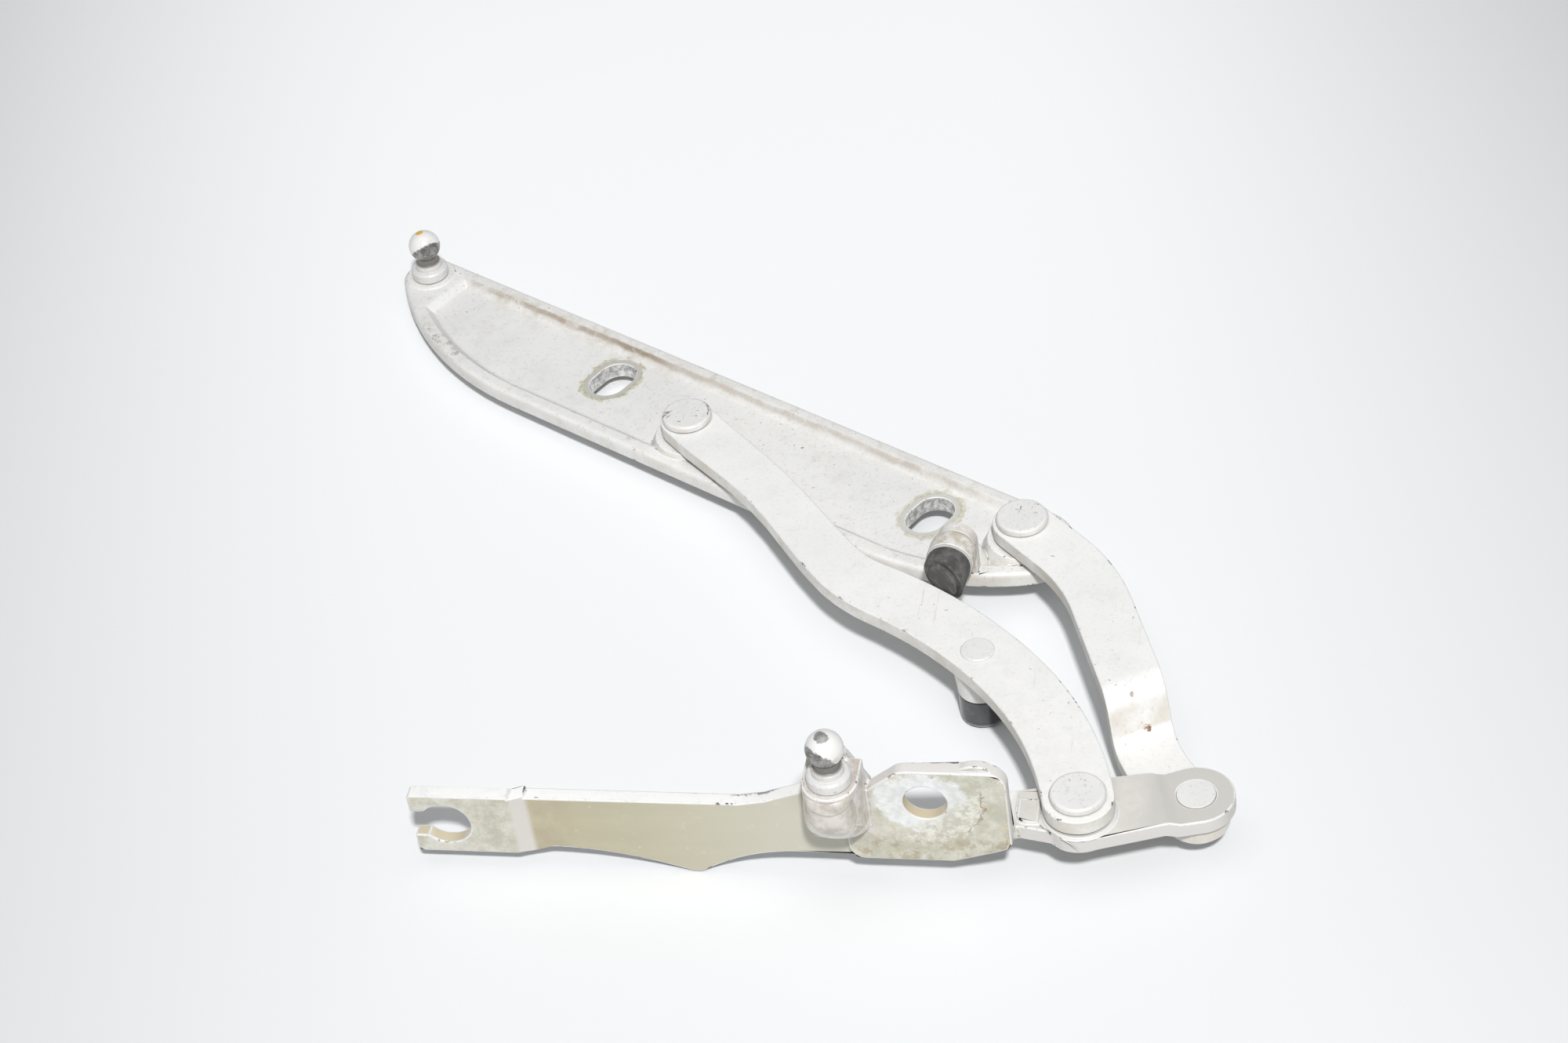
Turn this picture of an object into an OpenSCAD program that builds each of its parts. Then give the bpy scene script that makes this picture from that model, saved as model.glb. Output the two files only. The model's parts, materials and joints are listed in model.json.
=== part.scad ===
// Boot lid hinge: a four-bar hinge with a body bracket, a long link, a short link and a lid plate.
// It is drawn with the lid closed. The origin is the centre of the bracket's fixing hole, on the face
// that bolts to the car. X runs along the bracket towards the pivots, Y points away from the fixing
// face into the boot, and Z runs along the pivot pins. Sizes are in millimetres.

/* [Linkage] */
// distance from the fixing hole to the long link's body pivot, along the bracket
pivot_x = 38; // [34:0.5:44]
// distance from the fixing face to the long link's body pivot
pivot_y = 10; // [8:0.5:14]
// level of the links' top faces above the fixing hole
link_top = -6; // [-10:0.5:-3]
// distance between the long link's pivots
long_len = 200.8; // [195:0.2:206]
// distance between the short link's pivots
short_len = 113; // [110:0.2:116]
// distance between the lid plate's pivots
lid_len = 113.9; // [111:0.1:117]
// distance between the bracket's pivots
body_len = 30.7; // [29:0.1:33]
// direction of the bracket's second pivot from its first
body_angle = 17.6; // [14:0.2:21]
// direction of the long link with the lid closed
closed_angle = 130.7; // [127:0.1:134]

/* [Links] */
// thickness of both links
link_t = 4.5; // [3.5:0.1:5]
// width of the long link's bow
long_w = 18.8; // [17.5:0.1:20]
// width of the long link's straight arm
long_arm_w = 16.2; // [15.5:0.1:17.2]
// how far the long link bows out beside its body pivot
long_bow = 12.7; // [11.5:0.1:14]
// distance from the body pivot to the deepest point of the bow
long_bow_s = 50; // [47:0.5:53]
// radius of the bow towards the lid
long_bow_r = 140; // [130:1:150]
// radius of the hollow where the bow's outer edge meets the arm
long_hollow_r = 30; // [24:1:40]
// radius of the shoulder where the bow's inner edge meets the arm
long_shoulder_r = 60; // [50:1:70]
// how far the arm's inner edge is drawn in
long_waist = 3; // [2:0.2:3.6]
// how far the arm's outer edge swells
long_swell = 1.6; // [1:0.2:2.2]
// width of the short link
short_w = 17; // [15:0.5:19]
// how far the short link bows out beside its lid pivot
short_bow = 7.8; // [6:0.2:10]
// side shift of the short link where it runs under the bracket
short_foot = 3.2; // [2:0.2:4.5]
// distance from the short link's body pivot to its first bend
short_bend_s = 19; // [17:0.5:21]
// distance from the short link's body pivot to its second bend
short_turn_s = 84; // [80:0.5:88]
// radius of the short link's first bend
short_bend_r = 50; // [40:1:60]
// radius of the short link's second bend
short_turn_r = 60; // [50:1:70]
// distance from the short link's body pivot to the middle of its joggle
joggle_s = 34.6; // [33:0.2:36]
// length of the joggle's ramp
joggle_run = 6.5; // [5:0.5:9]
// radius of the joggle's bends
joggle_r = 7; // [6:0.5:8]

/* [Pivots] */
// radius of the pivot pins
pin_r = 4; // [3.5:0.1:4.5]
// radius of the pin heads
pin_head_r = 7.4; // [6.8:0.1:8]
// thickness of the pin heads
pin_head_t = 2; // [1.6:0.1:2.4]
// radius of the flush head in the bracket's ear
flush_head_r = 5.1; // [4.8:0.1:5.4]
// wall of the pivot bushes
bush_wall = 1; // [0.8:0.1:1.2]
// thickness of the bush flanges
bush_flange_t = 0.5; // [0.4:0.1:0.8]
// radius of the bush flanges
bush_flange_r = 7; // [6.4:0.1:7.6]
// running clearance between a pin and its bush
run_clear = 0.05; // [0.02:0.01:0.08]
// clearance between faces that slide past each other
face_clear = 0.3; // [0.2:0.05:0.4]

/* [Lid plate] */
// thickness of the plate
lid_t = 5; // [4:0.25:6]
// depth of the pocket inside the rim
pocket_depth = 2.5; // [2:0.25:3]
// width of the rim's flat crown with its rounded edges
rim_w = 4.6; // [4:0.2:5.5]
// height of the pivot bosses above the rim
boss_rise = 1.7; // [1.3:0.1:2.2]
// radius of the pivot bosses at the top
boss_r = 10.3; // [9.5:0.1:11]
// distance from the long link's pivot to the near edge
lid_near = 13.5; // [13:0.25:15]
// offset of the short link's pivot towards the far edge
lid_skew = 14; // [12:0.5:16]
// radius of the end round the short link's pivot
lid_end_r = 14.5; // [13.5:0.25:15.5]
// radius of the end round the ball stud
stud_end_r = 9; // [8.5:0.25:10]
// distance from the long link's pivot back to the ball stud
stud_back = 127; // [123:0.5:131]
// length of the raised end between the ball stud and the pocket
stud_ledge = 10; // [9:0.5:11]
// radius of the long curve at the ball stud's end
lid_sweep_r = 108; // [100:1:116]
// radius of the curve at the other end
lid_turn_r = 72; // [68:1:80]
// width of the fixing slots
slot_w = 11.5; // [10.5:0.25:12.5]
// length of the fixing slots across the plate
slot_len = 16; // [14.5:0.25:17.5]
// distance between the fixing slots
slot_pitch = 123; // [118:0.5:126]
// distance from the long link's pivot back to the first slot
slot_back = 41.5; // [38:0.5:44]
// distance of the slots from the line through the long link's pivot
slot_off = 11; // [10:0.25:12]

/* [Buffer] */
// distance of the buffer's lug along the plate from the long link's pivot
buffer_u = 104.5; // [103:0.5:106]
// distance of the buffer's lug from the long link's pivot towards the near edge
buffer_v = 4.8; // [4.2:0.1:5.2]
// turn of the buffer towards the short link's end of the plate
buffer_turn = 23; // [20:1:26]
// radius of the rubber buffer
buffer_r = 6.3; // [5.8:0.1:6.6]
// height of the buffer's axis above the links' top faces
buffer_rise = 2.6; // [2:0.2:3.4]
// thickness of the lug that holds the buffer
lug_t = 3.6; // [3.2:0.1:4]
// radius of the lug round the buffer's axis
lug_r = 5.6; // [5.2:0.1:6]
// radius of the hood on the lug
hood_r = 6.7; // [6.5:0.1:6.9]
// how far the hood stands in front of the lug's middle
hood_front = 9.2; // [8.6:0.2:9.8]
// length of the hood's straight part
hood_len = 4.6; // [4:0.2:5.2]
// length of the hood's rounded back
hood_back = 5; // [4:0.5:6]
// radius of the buffer's neck in the lug
buffer_neck_r = 3; // [2.6:0.1:3.4]
// length of the buffer's neck
buffer_grip = 8; // [7:0.5:9]
// width of the step round the buffer's end
buffer_step = 1.6; // [1.2:0.1:2]

/* [Ball studs] */
// radius of the balls
ball_r = 5; // [4.9:0.05:5.1]
// height of the ball's centre above the stud's seat
ball_rise = 11.4; // [10.8:0.2:12.4]
// radius of the stud's collar
stud_collar_r = 5.8; // [5.4:0.1:6.2]
// thickness of the stud's collar
stud_collar_t = 3.4; // [3:0.2:3.8]
// radius of the neck under the ball
stud_neck_r = 3.3; // [3:0.1:3.6]
// radius of the riveted shank
stud_shank_r = 3.5; // [3:0.1:4]
// length of the shank pressed into the bracket's column
stud_grip = 7; // [6:0.5:8]

/* [Stop roller] */
// distance of the stop from the long link's body pivot, along the link
stop_s = 62.3; // [60:0.1:65]
// distance of the stop from the line between the long link's pivots
stop_off = 10.8; // [10:0.1:12]
// radius of the stop's rivet head
stop_head_r = 4.8; // [4.4:0.1:5.2]
// radius of the stop pin's shoulder
stop_collar_r = 7.3; // [7:0.1:7.6]
// thickness of the stop pin's shoulder
stop_collar_t = 9.4; // [8.8:0.2:10]
// radius of the stop sleeve
sleeve_r = 6.5; // [6.2:0.1:6.9]
// length of the stop sleeve
sleeve_len = 9.5; // [9:0.25:10]
// radius of the pin inside the sleeve
stop_pin_r = 3.5; // [3:0.1:4]

/* [Body bracket] */
// thickness of the flange
sheet_t = 4; // [3.5:0.25:4.5]
// radius of the fixing hole
fix_r = 5.7; // [5.4:0.1:6]
// half length of the fixing pad
pad_half = 21.5; // [20:0.5:23]
// height of the pad's top above the fixing hole
pad_top = 11; // [10:0.5:12.5]
// depth of the pad's bottom below the fixing hole
pad_drop = 21; // [20:0.5:22.5]
// how far the strip lies behind the fixing face
strip_back = 2; // [1.5:0.25:2.5]
// level of the strip's top edge
strip_top = -4.3; // [-5:0.1:-3.5]
// level of the strip's bottom edge
strip_low = -22.6; // [-24:0.2:-21.5]
// depth of the rib point below the strip
rib_drop = 7.5; // [6:0.5:9]
// distance from the fixing hole to the rib point
rib_back = 64; // [60:0.5:68]
// distance from the fixing hole to the middle of the fork slot
fork_back = 130; // [126:0.5:134]
// level of the fork slot's middle
fork_mid = -13.2; // [-14:0.1:-12.5]
// radius of the fork slot's pocket
fork_r = 6.8; // [6.4:0.1:7.2]
// height of the fork slot's mouth
fork_mouth = 8.6; // [8.2:0.1:9]
// height of the fork
fork_h = 20.6; // [20:0.2:21.5]
// length of the prongs past the slot's middle
prong_len = 9.2; // [8.5:0.2:10]
// distance from the fixing hole back to the ball stud
body_stud_back = 22.5; // [21:0.5:24]
// distance of the ball stud in front of the fixing face
body_stud_out = 5.5; // [5:0.25:6.5]
// level of the ball stud's seat
body_stud_seat = 13; // [12:0.5:14]
// radius of the column under the ball stud
column_r = 7.3; // [6.8:0.1:7.8]
// thickness of the tongue
tongue_t = 4.5; // [4:0.25:5]
// height of the round seat under the long link
seat_rise = 0.8; // [0.5:0.1:1.2]
// radius of the seat under the long link
seat_r = 9.8; // [9.2:0.1:10.5]
// drop of the ear below the tongue
ear_drop = 1.2; // [0.8:0.1:1.6]
// radius of the ear
ear_r = 10.2; // [9.6:0.1:10.8]

/* [Hidden] */
$fn = 48;
// overlap that joins the shapes of one solid, and the hair's breadth between two solids that touch
lap = 0.2;
touch = 0.02;

// pivots in plan: two on the bracket, and the lid plate's two where the links meet it
p_bl = [pivot_x, pivot_y];
p_ll = p_bl + long_len * [cos(closed_angle), sin(closed_angle)];
p_bs = p_bl + body_len * [cos(body_angle), sin(body_angle)];
span = p_bs - p_ll;
reach = (lid_len * lid_len - short_len * short_len + span * span) / (2 * norm(span));
offset_n = sqrt(lid_len * lid_len - reach * reach);
p_ls = p_ll + (reach * span + offset_n * [-span[1], span[0]]) / norm(span);
short_angle = atan2(p_ls[1] - p_bs[1], p_ls[0] - p_bs[0]);
lid_angle = atan2(p_ls[1] - p_ll[1], p_ls[0] - p_ll[0]) - asin(lid_skew / lid_len);

// levels along the pins
link_low = link_top - link_t;
boss_top = link_low - bush_flange_t - face_clear;
rim_top = boss_top - boss_rise;
floor_z = rim_top - pocket_depth;
stud_seat = rim_top + 0.3;
lid_low = floor_z - lid_t;
seat_top = link_low - bush_flange_t - face_clear;
tongue_top = seat_top - seat_rise;
tongue_low = tongue_top - tongue_t;
ear_top = tongue_top - ear_drop;
ear_low = ear_top - tongue_t;
foot_top = ear_low - bush_flange_t - face_clear;
foot_low = foot_top - link_t;
head_low = link_top + face_clear;
bush_r = pin_r + run_clear + bush_wall;

// long link in its own frame: origin at the body pivot, X towards the lid pivot
bow_foot_r = (long_bow_s * long_bow_s + long_bow * long_bow) / (2 * long_bow);
foot_c = [long_bow_s, bow_foot_r - long_bow];
bow_c = [long_bow_s, long_bow_r - long_bow];
foot_a = atan2(-foot_c[1], -foot_c[0]) + 360;
hollow_c = tangent_centre(-1, long_bow_r + long_w / 2, long_hollow_r);
shoulder_c = tangent_centre(1, long_bow_r - long_w / 2, long_shoulder_r);
hollow_a = heading(bow_c, hollow_c) + 360;
shoulder_a = heading(bow_c, shoulder_c) + 360;
p_stop = [stop_s, -stop_off];
// centre of a round of radius r below the arm's edge on one side, touching the bow's edge of radius b
function tangent_centre(side, b, r) = let (y = side * long_arm_w / 2 - r)
    [bow_c[0] + sqrt(pow(b + r, 2) - pow(bow_c[1] - y, 2)), y];

// short link in its own frame: origin at the body pivot, X towards the lid pivot
short_path = [[0, 0], [short_bend_s, short_foot], [short_turn_s, -short_bow], [short_len, 0]];

// lid plate in its own frame: origin at the long link's pivot, X along the far edge
lid_p = [sqrt(lid_len * lid_len - lid_skew * lid_skew), lid_skew];
lid_far = lid_skew + lid_end_r;
stud_c = [-stud_back, lid_far - stud_end_r];
sweep_c = [stud_c[0] + sqrt(pow(lid_sweep_r - stud_end_r, 2) - pow(lid_sweep_r - lid_near - stud_c[1], 2)),
    lid_sweep_r - lid_near];
turn_c = [lid_p[0] - sqrt(pow(lid_turn_r - lid_end_r, 2) - pow(lid_turn_r - lid_near - lid_p[1], 2)),
    lid_turn_r - lid_near];
sweep_a = atan2(stud_c[1] - sweep_c[1], stud_c[0] - sweep_c[0]) + 360;
turn_a = atan2(lid_p[1] - turn_c[1], lid_p[0] - turn_c[0]);

// the buffer points at the long link's bowed edge and stops just short of it
function spin(p, a) = [p[0] * cos(a) - p[1] * sin(a), p[0] * sin(a) + p[1] * cos(a)];
bow_in_lid = spin(p_bl + spin(bow_c, closed_angle) - p_ll, -lid_angle);
buffer_dir = [sin(buffer_turn), -cos(buffer_turn)];
buffer_c = [buffer_u, -buffer_v];
buffer_z = link_top + buffer_rise;
mound_c = buffer_c - 5 * buffer_dir;

function arc(c, r, a0, a1, n) = [for (i = [0:n])
    c + r * [cos(a0 + (a1 - a0) * i / n), sin(a0 + (a1 - a0) * i / n)]];
function unit(v) = v / norm(v);
function heading(a, b) = atan2(b[1] - a[1], b[0] - a[0]);
function turn_centre(a, b, c, r) = let (u = unit(a - b), v = unit(c - b))
    b + unit(u + v) * r / sin(acos(u * v) / 2);
// one side of a rounded corner, o to the left of the path
function corner(a, b, c, r, o, n) = let (h0 = heading(a, b), h1 = heading(b, c), s = h1 > h0 ? 1 : -1)
    arc(turn_centre(a, b, c, r), r - s * o, h0 - s * 90, h1 - s * 90, n);
// points of an edge at level y from x0 to x1 that swells by d half way
function swell(x0, x1, y, d, n) = [for (i = [1:n - 1])
    [x0 + (x1 - x0) * i / n, y + d * pow(sin(180 * i / n), 2)]];
function backwards(v) = [for (i = [len(v) - 1:-1:0]) v[i]];

// outline of the lid plate, drawn in by d on every side
function lid_outline(d) = concat(
    arc(lid_p, lid_end_r - d, turn_a, 90, 14),
    arc(stud_c, stud_end_r - d, 90, sweep_a, 14),
    arc(sweep_c, lid_sweep_r - d, sweep_a, 270, 14),
    arc(turn_c, lid_turn_r - d, 270, 360 + turn_a, 14));

// solid between outlines: each ring is [inset, level], from the underside round the rim to the floor
module lid_loft(rings) {
    n = len(lid_outline(0));
    points = [for (r = rings) for (p = lid_outline(r[0])) [p[0], p[1], r[1]]];
    sides = [for (k = [0:len(rings) - 2]) for (i = [0:n - 1]) let (j = (i + 1) % n)
        each [[k * n + i, (k + 1) * n + j, k * n + j], [k * n + i, (k + 1) * n + i, (k + 1) * n + j]]];
    low = [[for (i = [0:n - 1]) i]];
    top = [[for (i = [n - 1:-1:0]) (len(rings) - 1) * n + i]];
    polyhedron(points = points, faces = concat(low, sides, top), convexity = 6);
}

module at_long() {
    translate([p_bl[0], p_bl[1], 0]) rotate(closed_angle) children();
}

module at_short() {
    translate([p_bs[0], p_bs[1], 0]) rotate(short_angle) children();
}

module at_lid() {
    translate([p_ll[0], p_ll[1], 0]) rotate(lid_angle) children();
}

module hole(p, r, z0, z1) {
    translate([p[0], p[1], z0]) cylinder(r = r, h = z1 - z0);
}

module long_outline() {
    h = long_w / 2;
    e = long_arm_w / 2;
    polygon(concat(
        arc(foot_c, bow_foot_r + h, foot_a, 270, 12),
        arc(bow_c, long_bow_r + h, 270, hollow_a, 10),
        arc(hollow_c, long_hollow_r, hollow_a - 180, 90, 8),
        swell(hollow_c[0], long_len, -e, -long_swell, 8),
        arc([long_len, 0], e, -90, 90, 20),
        swell(long_len, shoulder_c[0], e, -long_waist, 8),
        arc(shoulder_c, long_shoulder_r, 90, shoulder_a - 180, 8),
        arc(bow_c, long_bow_r - h, shoulder_a, 270, 10),
        arc(foot_c, bow_foot_r - h, 270, foot_a, 12),
        arc([0, 0], h, foot_a - 180, foot_a, 20)));
}

module short_outline() {
    h = short_w / 2;
    a = short_path[0];
    b = short_path[1];
    c = short_path[2];
    d = short_path[3];
    polygon(concat(
        arc(a, h, heading(a, b) + 90, heading(a, b) + 270, 20),
        corner(a, b, c, short_bend_r, -h, 8),
        corner(b, c, d, short_turn_r, -h, 8),
        arc(d, h, heading(c, d) - 90, heading(c, d) + 90, 20),
        backwards(corner(b, c, d, short_turn_r, h, 8)),
        backwards(corner(a, b, c, short_bend_r, h, 8))));
}

// side view of the short link: the foot, the ramp of the joggle and the raised arm
module short_profile() {
    h = link_t / 2;
    a = [-20, foot_low + h];
    b = [joggle_s - joggle_run / 2, foot_low + h];
    c = [joggle_s + joggle_run / 2, link_low + h];
    d = [short_len + 20, link_low + h];
    polygon(concat(
        [a - [0, h]], corner(a, b, c, joggle_r, -h, 6), corner(b, c, d, joggle_r, -h, 6),
        [d - [0, h], d + [0, h]], backwards(corner(b, c, d, joggle_r, h, 6)),
        backwards(corner(a, b, c, joggle_r, h, 6)), [a + [0, h]]));
}

module long_link() {
    color("whitesmoke") at_long() difference() {
        translate([0, 0, link_low]) linear_extrude(link_t) long_outline();
        hole([0, 0], bush_r, link_low - 1, link_top + 1);
        hole([long_len, 0], bush_r, link_low - 1, link_top + 1);
        hole(p_stop, stop_pin_r, link_low - 1, link_top + 1);
    }
}

module short_link() {
    color("whitesmoke") at_short() difference() {
        intersection() {
            translate([0, 0, foot_low - 1]) linear_extrude(link_top - foot_low + 2) short_outline();
            translate([0, 50, 0]) rotate([90, 0, 0]) linear_extrude(100) short_profile();
        }
        hole([0, 0], bush_r, foot_low - 1, foot_top + 1);
        hole([short_len, 0], bush_r, link_low - 1, link_top + 1);
    }
}

module lid_slot(u) {
    s = (slot_len - slot_w) / 2;
    for (v = [-s, s]) hole([u, slot_off + v], slot_w / 2, lid_low - 1, floor_z + 1);
    translate([u - slot_w / 2, slot_off - s, lid_low - 1]) cube([slot_w, 2 * s, lid_t + 2]);
}

module lid_boss(p) {
    translate([p[0], p[1], floor_z - 1]) cylinder(r1 = boss_r + 2.4, r2 = boss_r, h = boss_top - floor_z + 1);
}

module at_buffer() {
    translate([buffer_c[0], buffer_c[1], buffer_z]) rotate(buffer_turn) rotate([90, 0, 0]) children();
}

// upright lug with a round hood, on a low mound
module buffer_lug() {
    r = hood_r;
    at_buffer() {
        translate([0, 0, -lug_t / 2]) linear_extrude(lug_t) union() {
            circle(r = lug_r);
            translate([-lug_r, floor_z - 1.5 - buffer_z]) square([2 * lug_r, buffer_z - floor_z + 1.5]);
        }
        rotate_extrude() polygon(concat([[0, hood_front], [r - 0.4, hood_front], [r, hood_front - 0.4]],
            [for (a = [0:15:90]) [r * cos(a), hood_front - hood_len - hood_back * sin(a)]]));
    }
    translate([mound_c[0], mound_c[1], floor_z - 1])
        cylinder(r1 = hood_r + 0.9, r2 = hood_r - 1.8, h = rim_top + 2 - floor_z + 1);
}

// raised end of the plate round the ball stud, with a slope down to the pocket
module stud_ledge() {
    x = stud_c[0] + stud_ledge;
    z = rim_top - 0.1;
    intersection() {
        translate([0, 0, floor_z - 1]) linear_extrude(pocket_depth + 1) polygon(lid_outline(2.6));
        translate([0, 60, 0]) rotate([90, 0, 0]) linear_extrude(120)
            polygon([[x - 40, floor_z - 0.8], [x + 4.2, floor_z - 0.8], [x + 2.2, floor_z + 0.5],
                [x + 0.7, z - 0.3], [x - 0.4, z], [x - 40, z]]);
    }
}

module lid_plate() {
    rise = pocket_depth;
    color("whitesmoke") at_lid() difference() {
        union() {
            lid_loft([[rim_w + 3, lid_low], [rim_w + 2, lid_low + 0.4], [rim_w + 0.6, lid_low + rise - 0.3],
                [rim_w - 0.6, lid_low + rise], [0.6, lid_low + rise], [0, lid_low + rise + 0.6],
                [0, rim_top - 1.6], [0.2, rim_top - 0.8], [0.7, rim_top - 0.25], [1.5, rim_top],
                [rim_w - 0.9, rim_top], [rim_w - 0.1, rim_top - 0.25], [rim_w + 1.2, floor_z + 0.5],
                [rim_w + 2, floor_z + 0.1], [rim_w + 3, floor_z]]);
            lid_boss([0, 0]);
            lid_boss(lid_p);
            stud_ledge();
            translate([stud_c[0], stud_c[1], floor_z - 1])
                cylinder(r1 = stud_end_r - 0.4, r2 = stud_end_r - 1.2, h = stud_seat - floor_z + 1);
            buffer_lug();
        }
        lid_slot(-slot_back);
        lid_slot(slot_pitch - slot_back);
        hole([0, 0], pin_r, lid_low - 1, boss_top + 1);
        hole(lid_p, pin_r + 0.5, lid_low - 1, boss_top + 1);
        hole(stud_c, stud_shank_r, lid_low - 1, rim_top + 2);
        at_buffer() translate([0, 0, hood_front - buffer_grip - touch])
            cylinder(r = buffer_neck_r, h = buffer_grip + 1);
    }
}

// ball stud with its seat at z = 0 and a shank of length l
module ball_stud(l) {
    translate([0, 0, -l]) cylinder(r = stud_shank_r, h = l + lap);
    rotate_extrude() polygon([[0, 0], [stud_collar_r - 0.4, 0], [stud_collar_r, 0.4],
        [stud_collar_r, stud_collar_t - 0.6], [stud_collar_r - 0.6, stud_collar_t],
        [stud_neck_r + 0.9, stud_collar_t], [stud_neck_r + 0.9, stud_collar_t + 1.6],
        [stud_neck_r, stud_collar_t + 2.1], [stud_neck_r, ball_rise - 2], [0, ball_rise - 2]]);
    translate([0, 0, ball_rise]) sphere(r = ball_r);
}

module lid_ball_stud() {
    color("silver") at_lid() translate([stud_c[0], stud_c[1], 0]) {
        translate([0, 0, stud_seat]) ball_stud(stud_seat - lid_low + lap);
        translate([0, 0, lid_low - touch]) pin_tail(stud_shank_r + 1.4);
    }
}

module body_ball_stud() {
    color("silver") translate([-body_stud_back, -body_stud_out, body_stud_seat]) ball_stud(stud_grip);
}

// domed head over a link, with its underside at z = 0
module pin_head() {
    rotate_extrude() polygon([[0, 0], [pin_head_r, 0], [pin_head_r, pin_head_t * 0.55],
        [pin_head_r - 0.35, pin_head_t * 0.85], [pin_head_r - 1, pin_head_t], [0, pin_head_t]]);
}

// peened end under a plate, with its top at z = 0
module pin_tail(r) {
    translate([0, 0, -1.4]) cylinder(r1 = r - 0.6, r2 = r, h = 1.4);
}

module body_long_pin() {
    color("whitesmoke") translate([p_bl[0], p_bl[1], 0]) {
        translate([0, 0, tongue_low - lap]) cylinder(r = pin_r, h = head_low - tongue_low + 2 * lap);
        translate([0, 0, head_low]) pin_head();
        translate([0, 0, tongue_low - touch]) pin_tail(pin_r + 1.8);
    }
}

module lid_long_pin() {
    color("whitesmoke") translate([p_ll[0], p_ll[1], 0]) {
        translate([0, 0, lid_low - lap]) cylinder(r = pin_r, h = head_low - lid_low + 2 * lap);
        translate([0, 0, head_low]) pin_head();
        translate([0, 0, lid_low - touch]) pin_tail(pin_r + 1.8);
    }
}

module body_short_pin() {
    color("whitesmoke") translate([p_bs[0], p_bs[1], 0]) {
        translate([0, 0, foot_low - face_clear - lap])
            cylinder(r = pin_r, h = ear_top - foot_low + face_clear + lap);
        translate([0, 0, ear_top - 1.5]) cylinder(r = flush_head_r, h = 1.8);
        translate([0, 0, foot_low - face_clear]) pin_tail(pin_head_r);
    }
}

module lid_short_pin() {
    color("whitesmoke") translate([p_ls[0], p_ls[1], 0]) {
        translate([0, 0, boss_top + face_clear])
            cylinder(r = pin_r, h = head_low - boss_top - face_clear + lap);
        translate([0, 0, head_low]) pin_head();
    }
}

// flanged bush: the sleeve fills the link's bore and the flange lies under the link
module bush(z0, t, flange) {
    difference() {
        union() {
            translate([0, 0, z0]) cylinder(r = bush_r, h = t);
            translate([0, 0, z0 - flange]) cylinder(r = bush_flange_r, h = flange - touch);
            translate([0, 0, z0 - flange]) cylinder(r = bush_r, h = flange + 1);
        }
        translate([0, 0, z0 - flange - 1]) cylinder(r = pin_r + run_clear, h = t + flange + 2);
    }
}

module body_long_bush() {
    color("tan") translate([p_bl[0], p_bl[1], 0]) bush(link_low, link_t, bush_flange_t);
}

module lid_long_bush() {
    color("tan") translate([p_ll[0], p_ll[1], 0]) bush(link_low, link_t, bush_flange_t);
}

// this one lies upside down, with its flange between the ear and the foot of the short link
module body_short_bush() {
    color("tan") translate([p_bs[0], p_bs[1], foot_low + foot_top]) mirror([0, 0, 1])
        bush(foot_low, link_t, bush_flange_t);
}

module lid_short_bush() {
    color("tan") translate([p_ls[0], p_ls[1], 0]) bush(link_low, link_t, bush_flange_t);
}

module stop_pin() {
    low = link_low - stop_collar_t;
    color("whitesmoke") at_long() translate([p_stop[0], p_stop[1], 0]) {
        translate([0, 0, low - sleeve_len + 1]) cylinder(r = stop_pin_r, h = link_top - low + sleeve_len - 1);
        translate([0, 0, low]) cylinder(r1 = sleeve_r, r2 = stop_collar_r, h = stop_collar_t - touch);
        translate([0, 0, link_top + touch]) cylinder(r1 = stop_head_r, r2 = stop_head_r - 0.4, h = 0.5);
        translate([0, 0, link_top - lap]) cylinder(r = stop_pin_r, h = 2 * lap);
    }
}

module stop_sleeve() {
    low = link_low - stop_collar_t - touch;
    color("black") at_long() translate([p_stop[0], p_stop[1], low - sleeve_len]) difference() {
        rotate_extrude() polygon([[0, 0], [sleeve_r - 0.8, 0], [sleeve_r, 0.8], [sleeve_r, sleeve_len - 0.4],
            [sleeve_r - 0.4, sleeve_len], [0, sleeve_len]]);
        translate([0, 0, 1 - touch]) cylinder(r = stop_pin_r, h = sleeve_len);
    }
}

// everything nearer than d to the long link's bowed edge
module near_bow(d) {
    translate([bow_in_lid[0], bow_in_lid[1], link_low - 10])
        cylinder(r = long_bow_r + long_w / 2 + d, h = 40);
}

// rubber buffer: a plug whose stepped end is cut to suit the long link's edge
module stop_buffer() {
    l = 18;
    core_r = buffer_r - buffer_step;
    color("dimgray") at_lid() {
        difference() {
            at_buffer() translate([0, 0, hood_front + touch]) rotate_extrude()
                polygon([[0, 0], [buffer_r - 0.5, 0], [buffer_r, 0.5], [buffer_r, l], [0, l]]);
            near_bow(face_clear + 1.2);
        }
        difference() {
            at_buffer() translate([0, 0, hood_front + 1]) cylinder(r = core_r, h = l);
            near_bow(face_clear);
        }
        at_buffer() translate([0, 0, hood_front - buffer_grip])
            cylinder(r = buffer_neck_r, h = buffer_grip + 1);
    }
}

// flange outlines lie in the XZ plane
module upright(y, t) {
    translate([0, y + t, 0]) rotate([90, 0, 0]) linear_extrude(t) children();
}

module pad_outline() {
    l = pad_half;
    polygon(concat(
        arc([-l + 4, -pad_drop + 4], 4, 180, 270, 6),
        [[6, -pad_drop], [16, -pad_drop + 3.2]],
        arc([l - 3, tongue_low + 3], 3, 300, 360, 6),
        arc([l - 5, pad_top - 5], 5, 0, 90, 8),
        arc([-4.5, pad_top - 5], 5, 90, 135, 6),
        [[-14.5, pad_top - 6.6], [-l, pad_top - 8]]));
}

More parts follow.
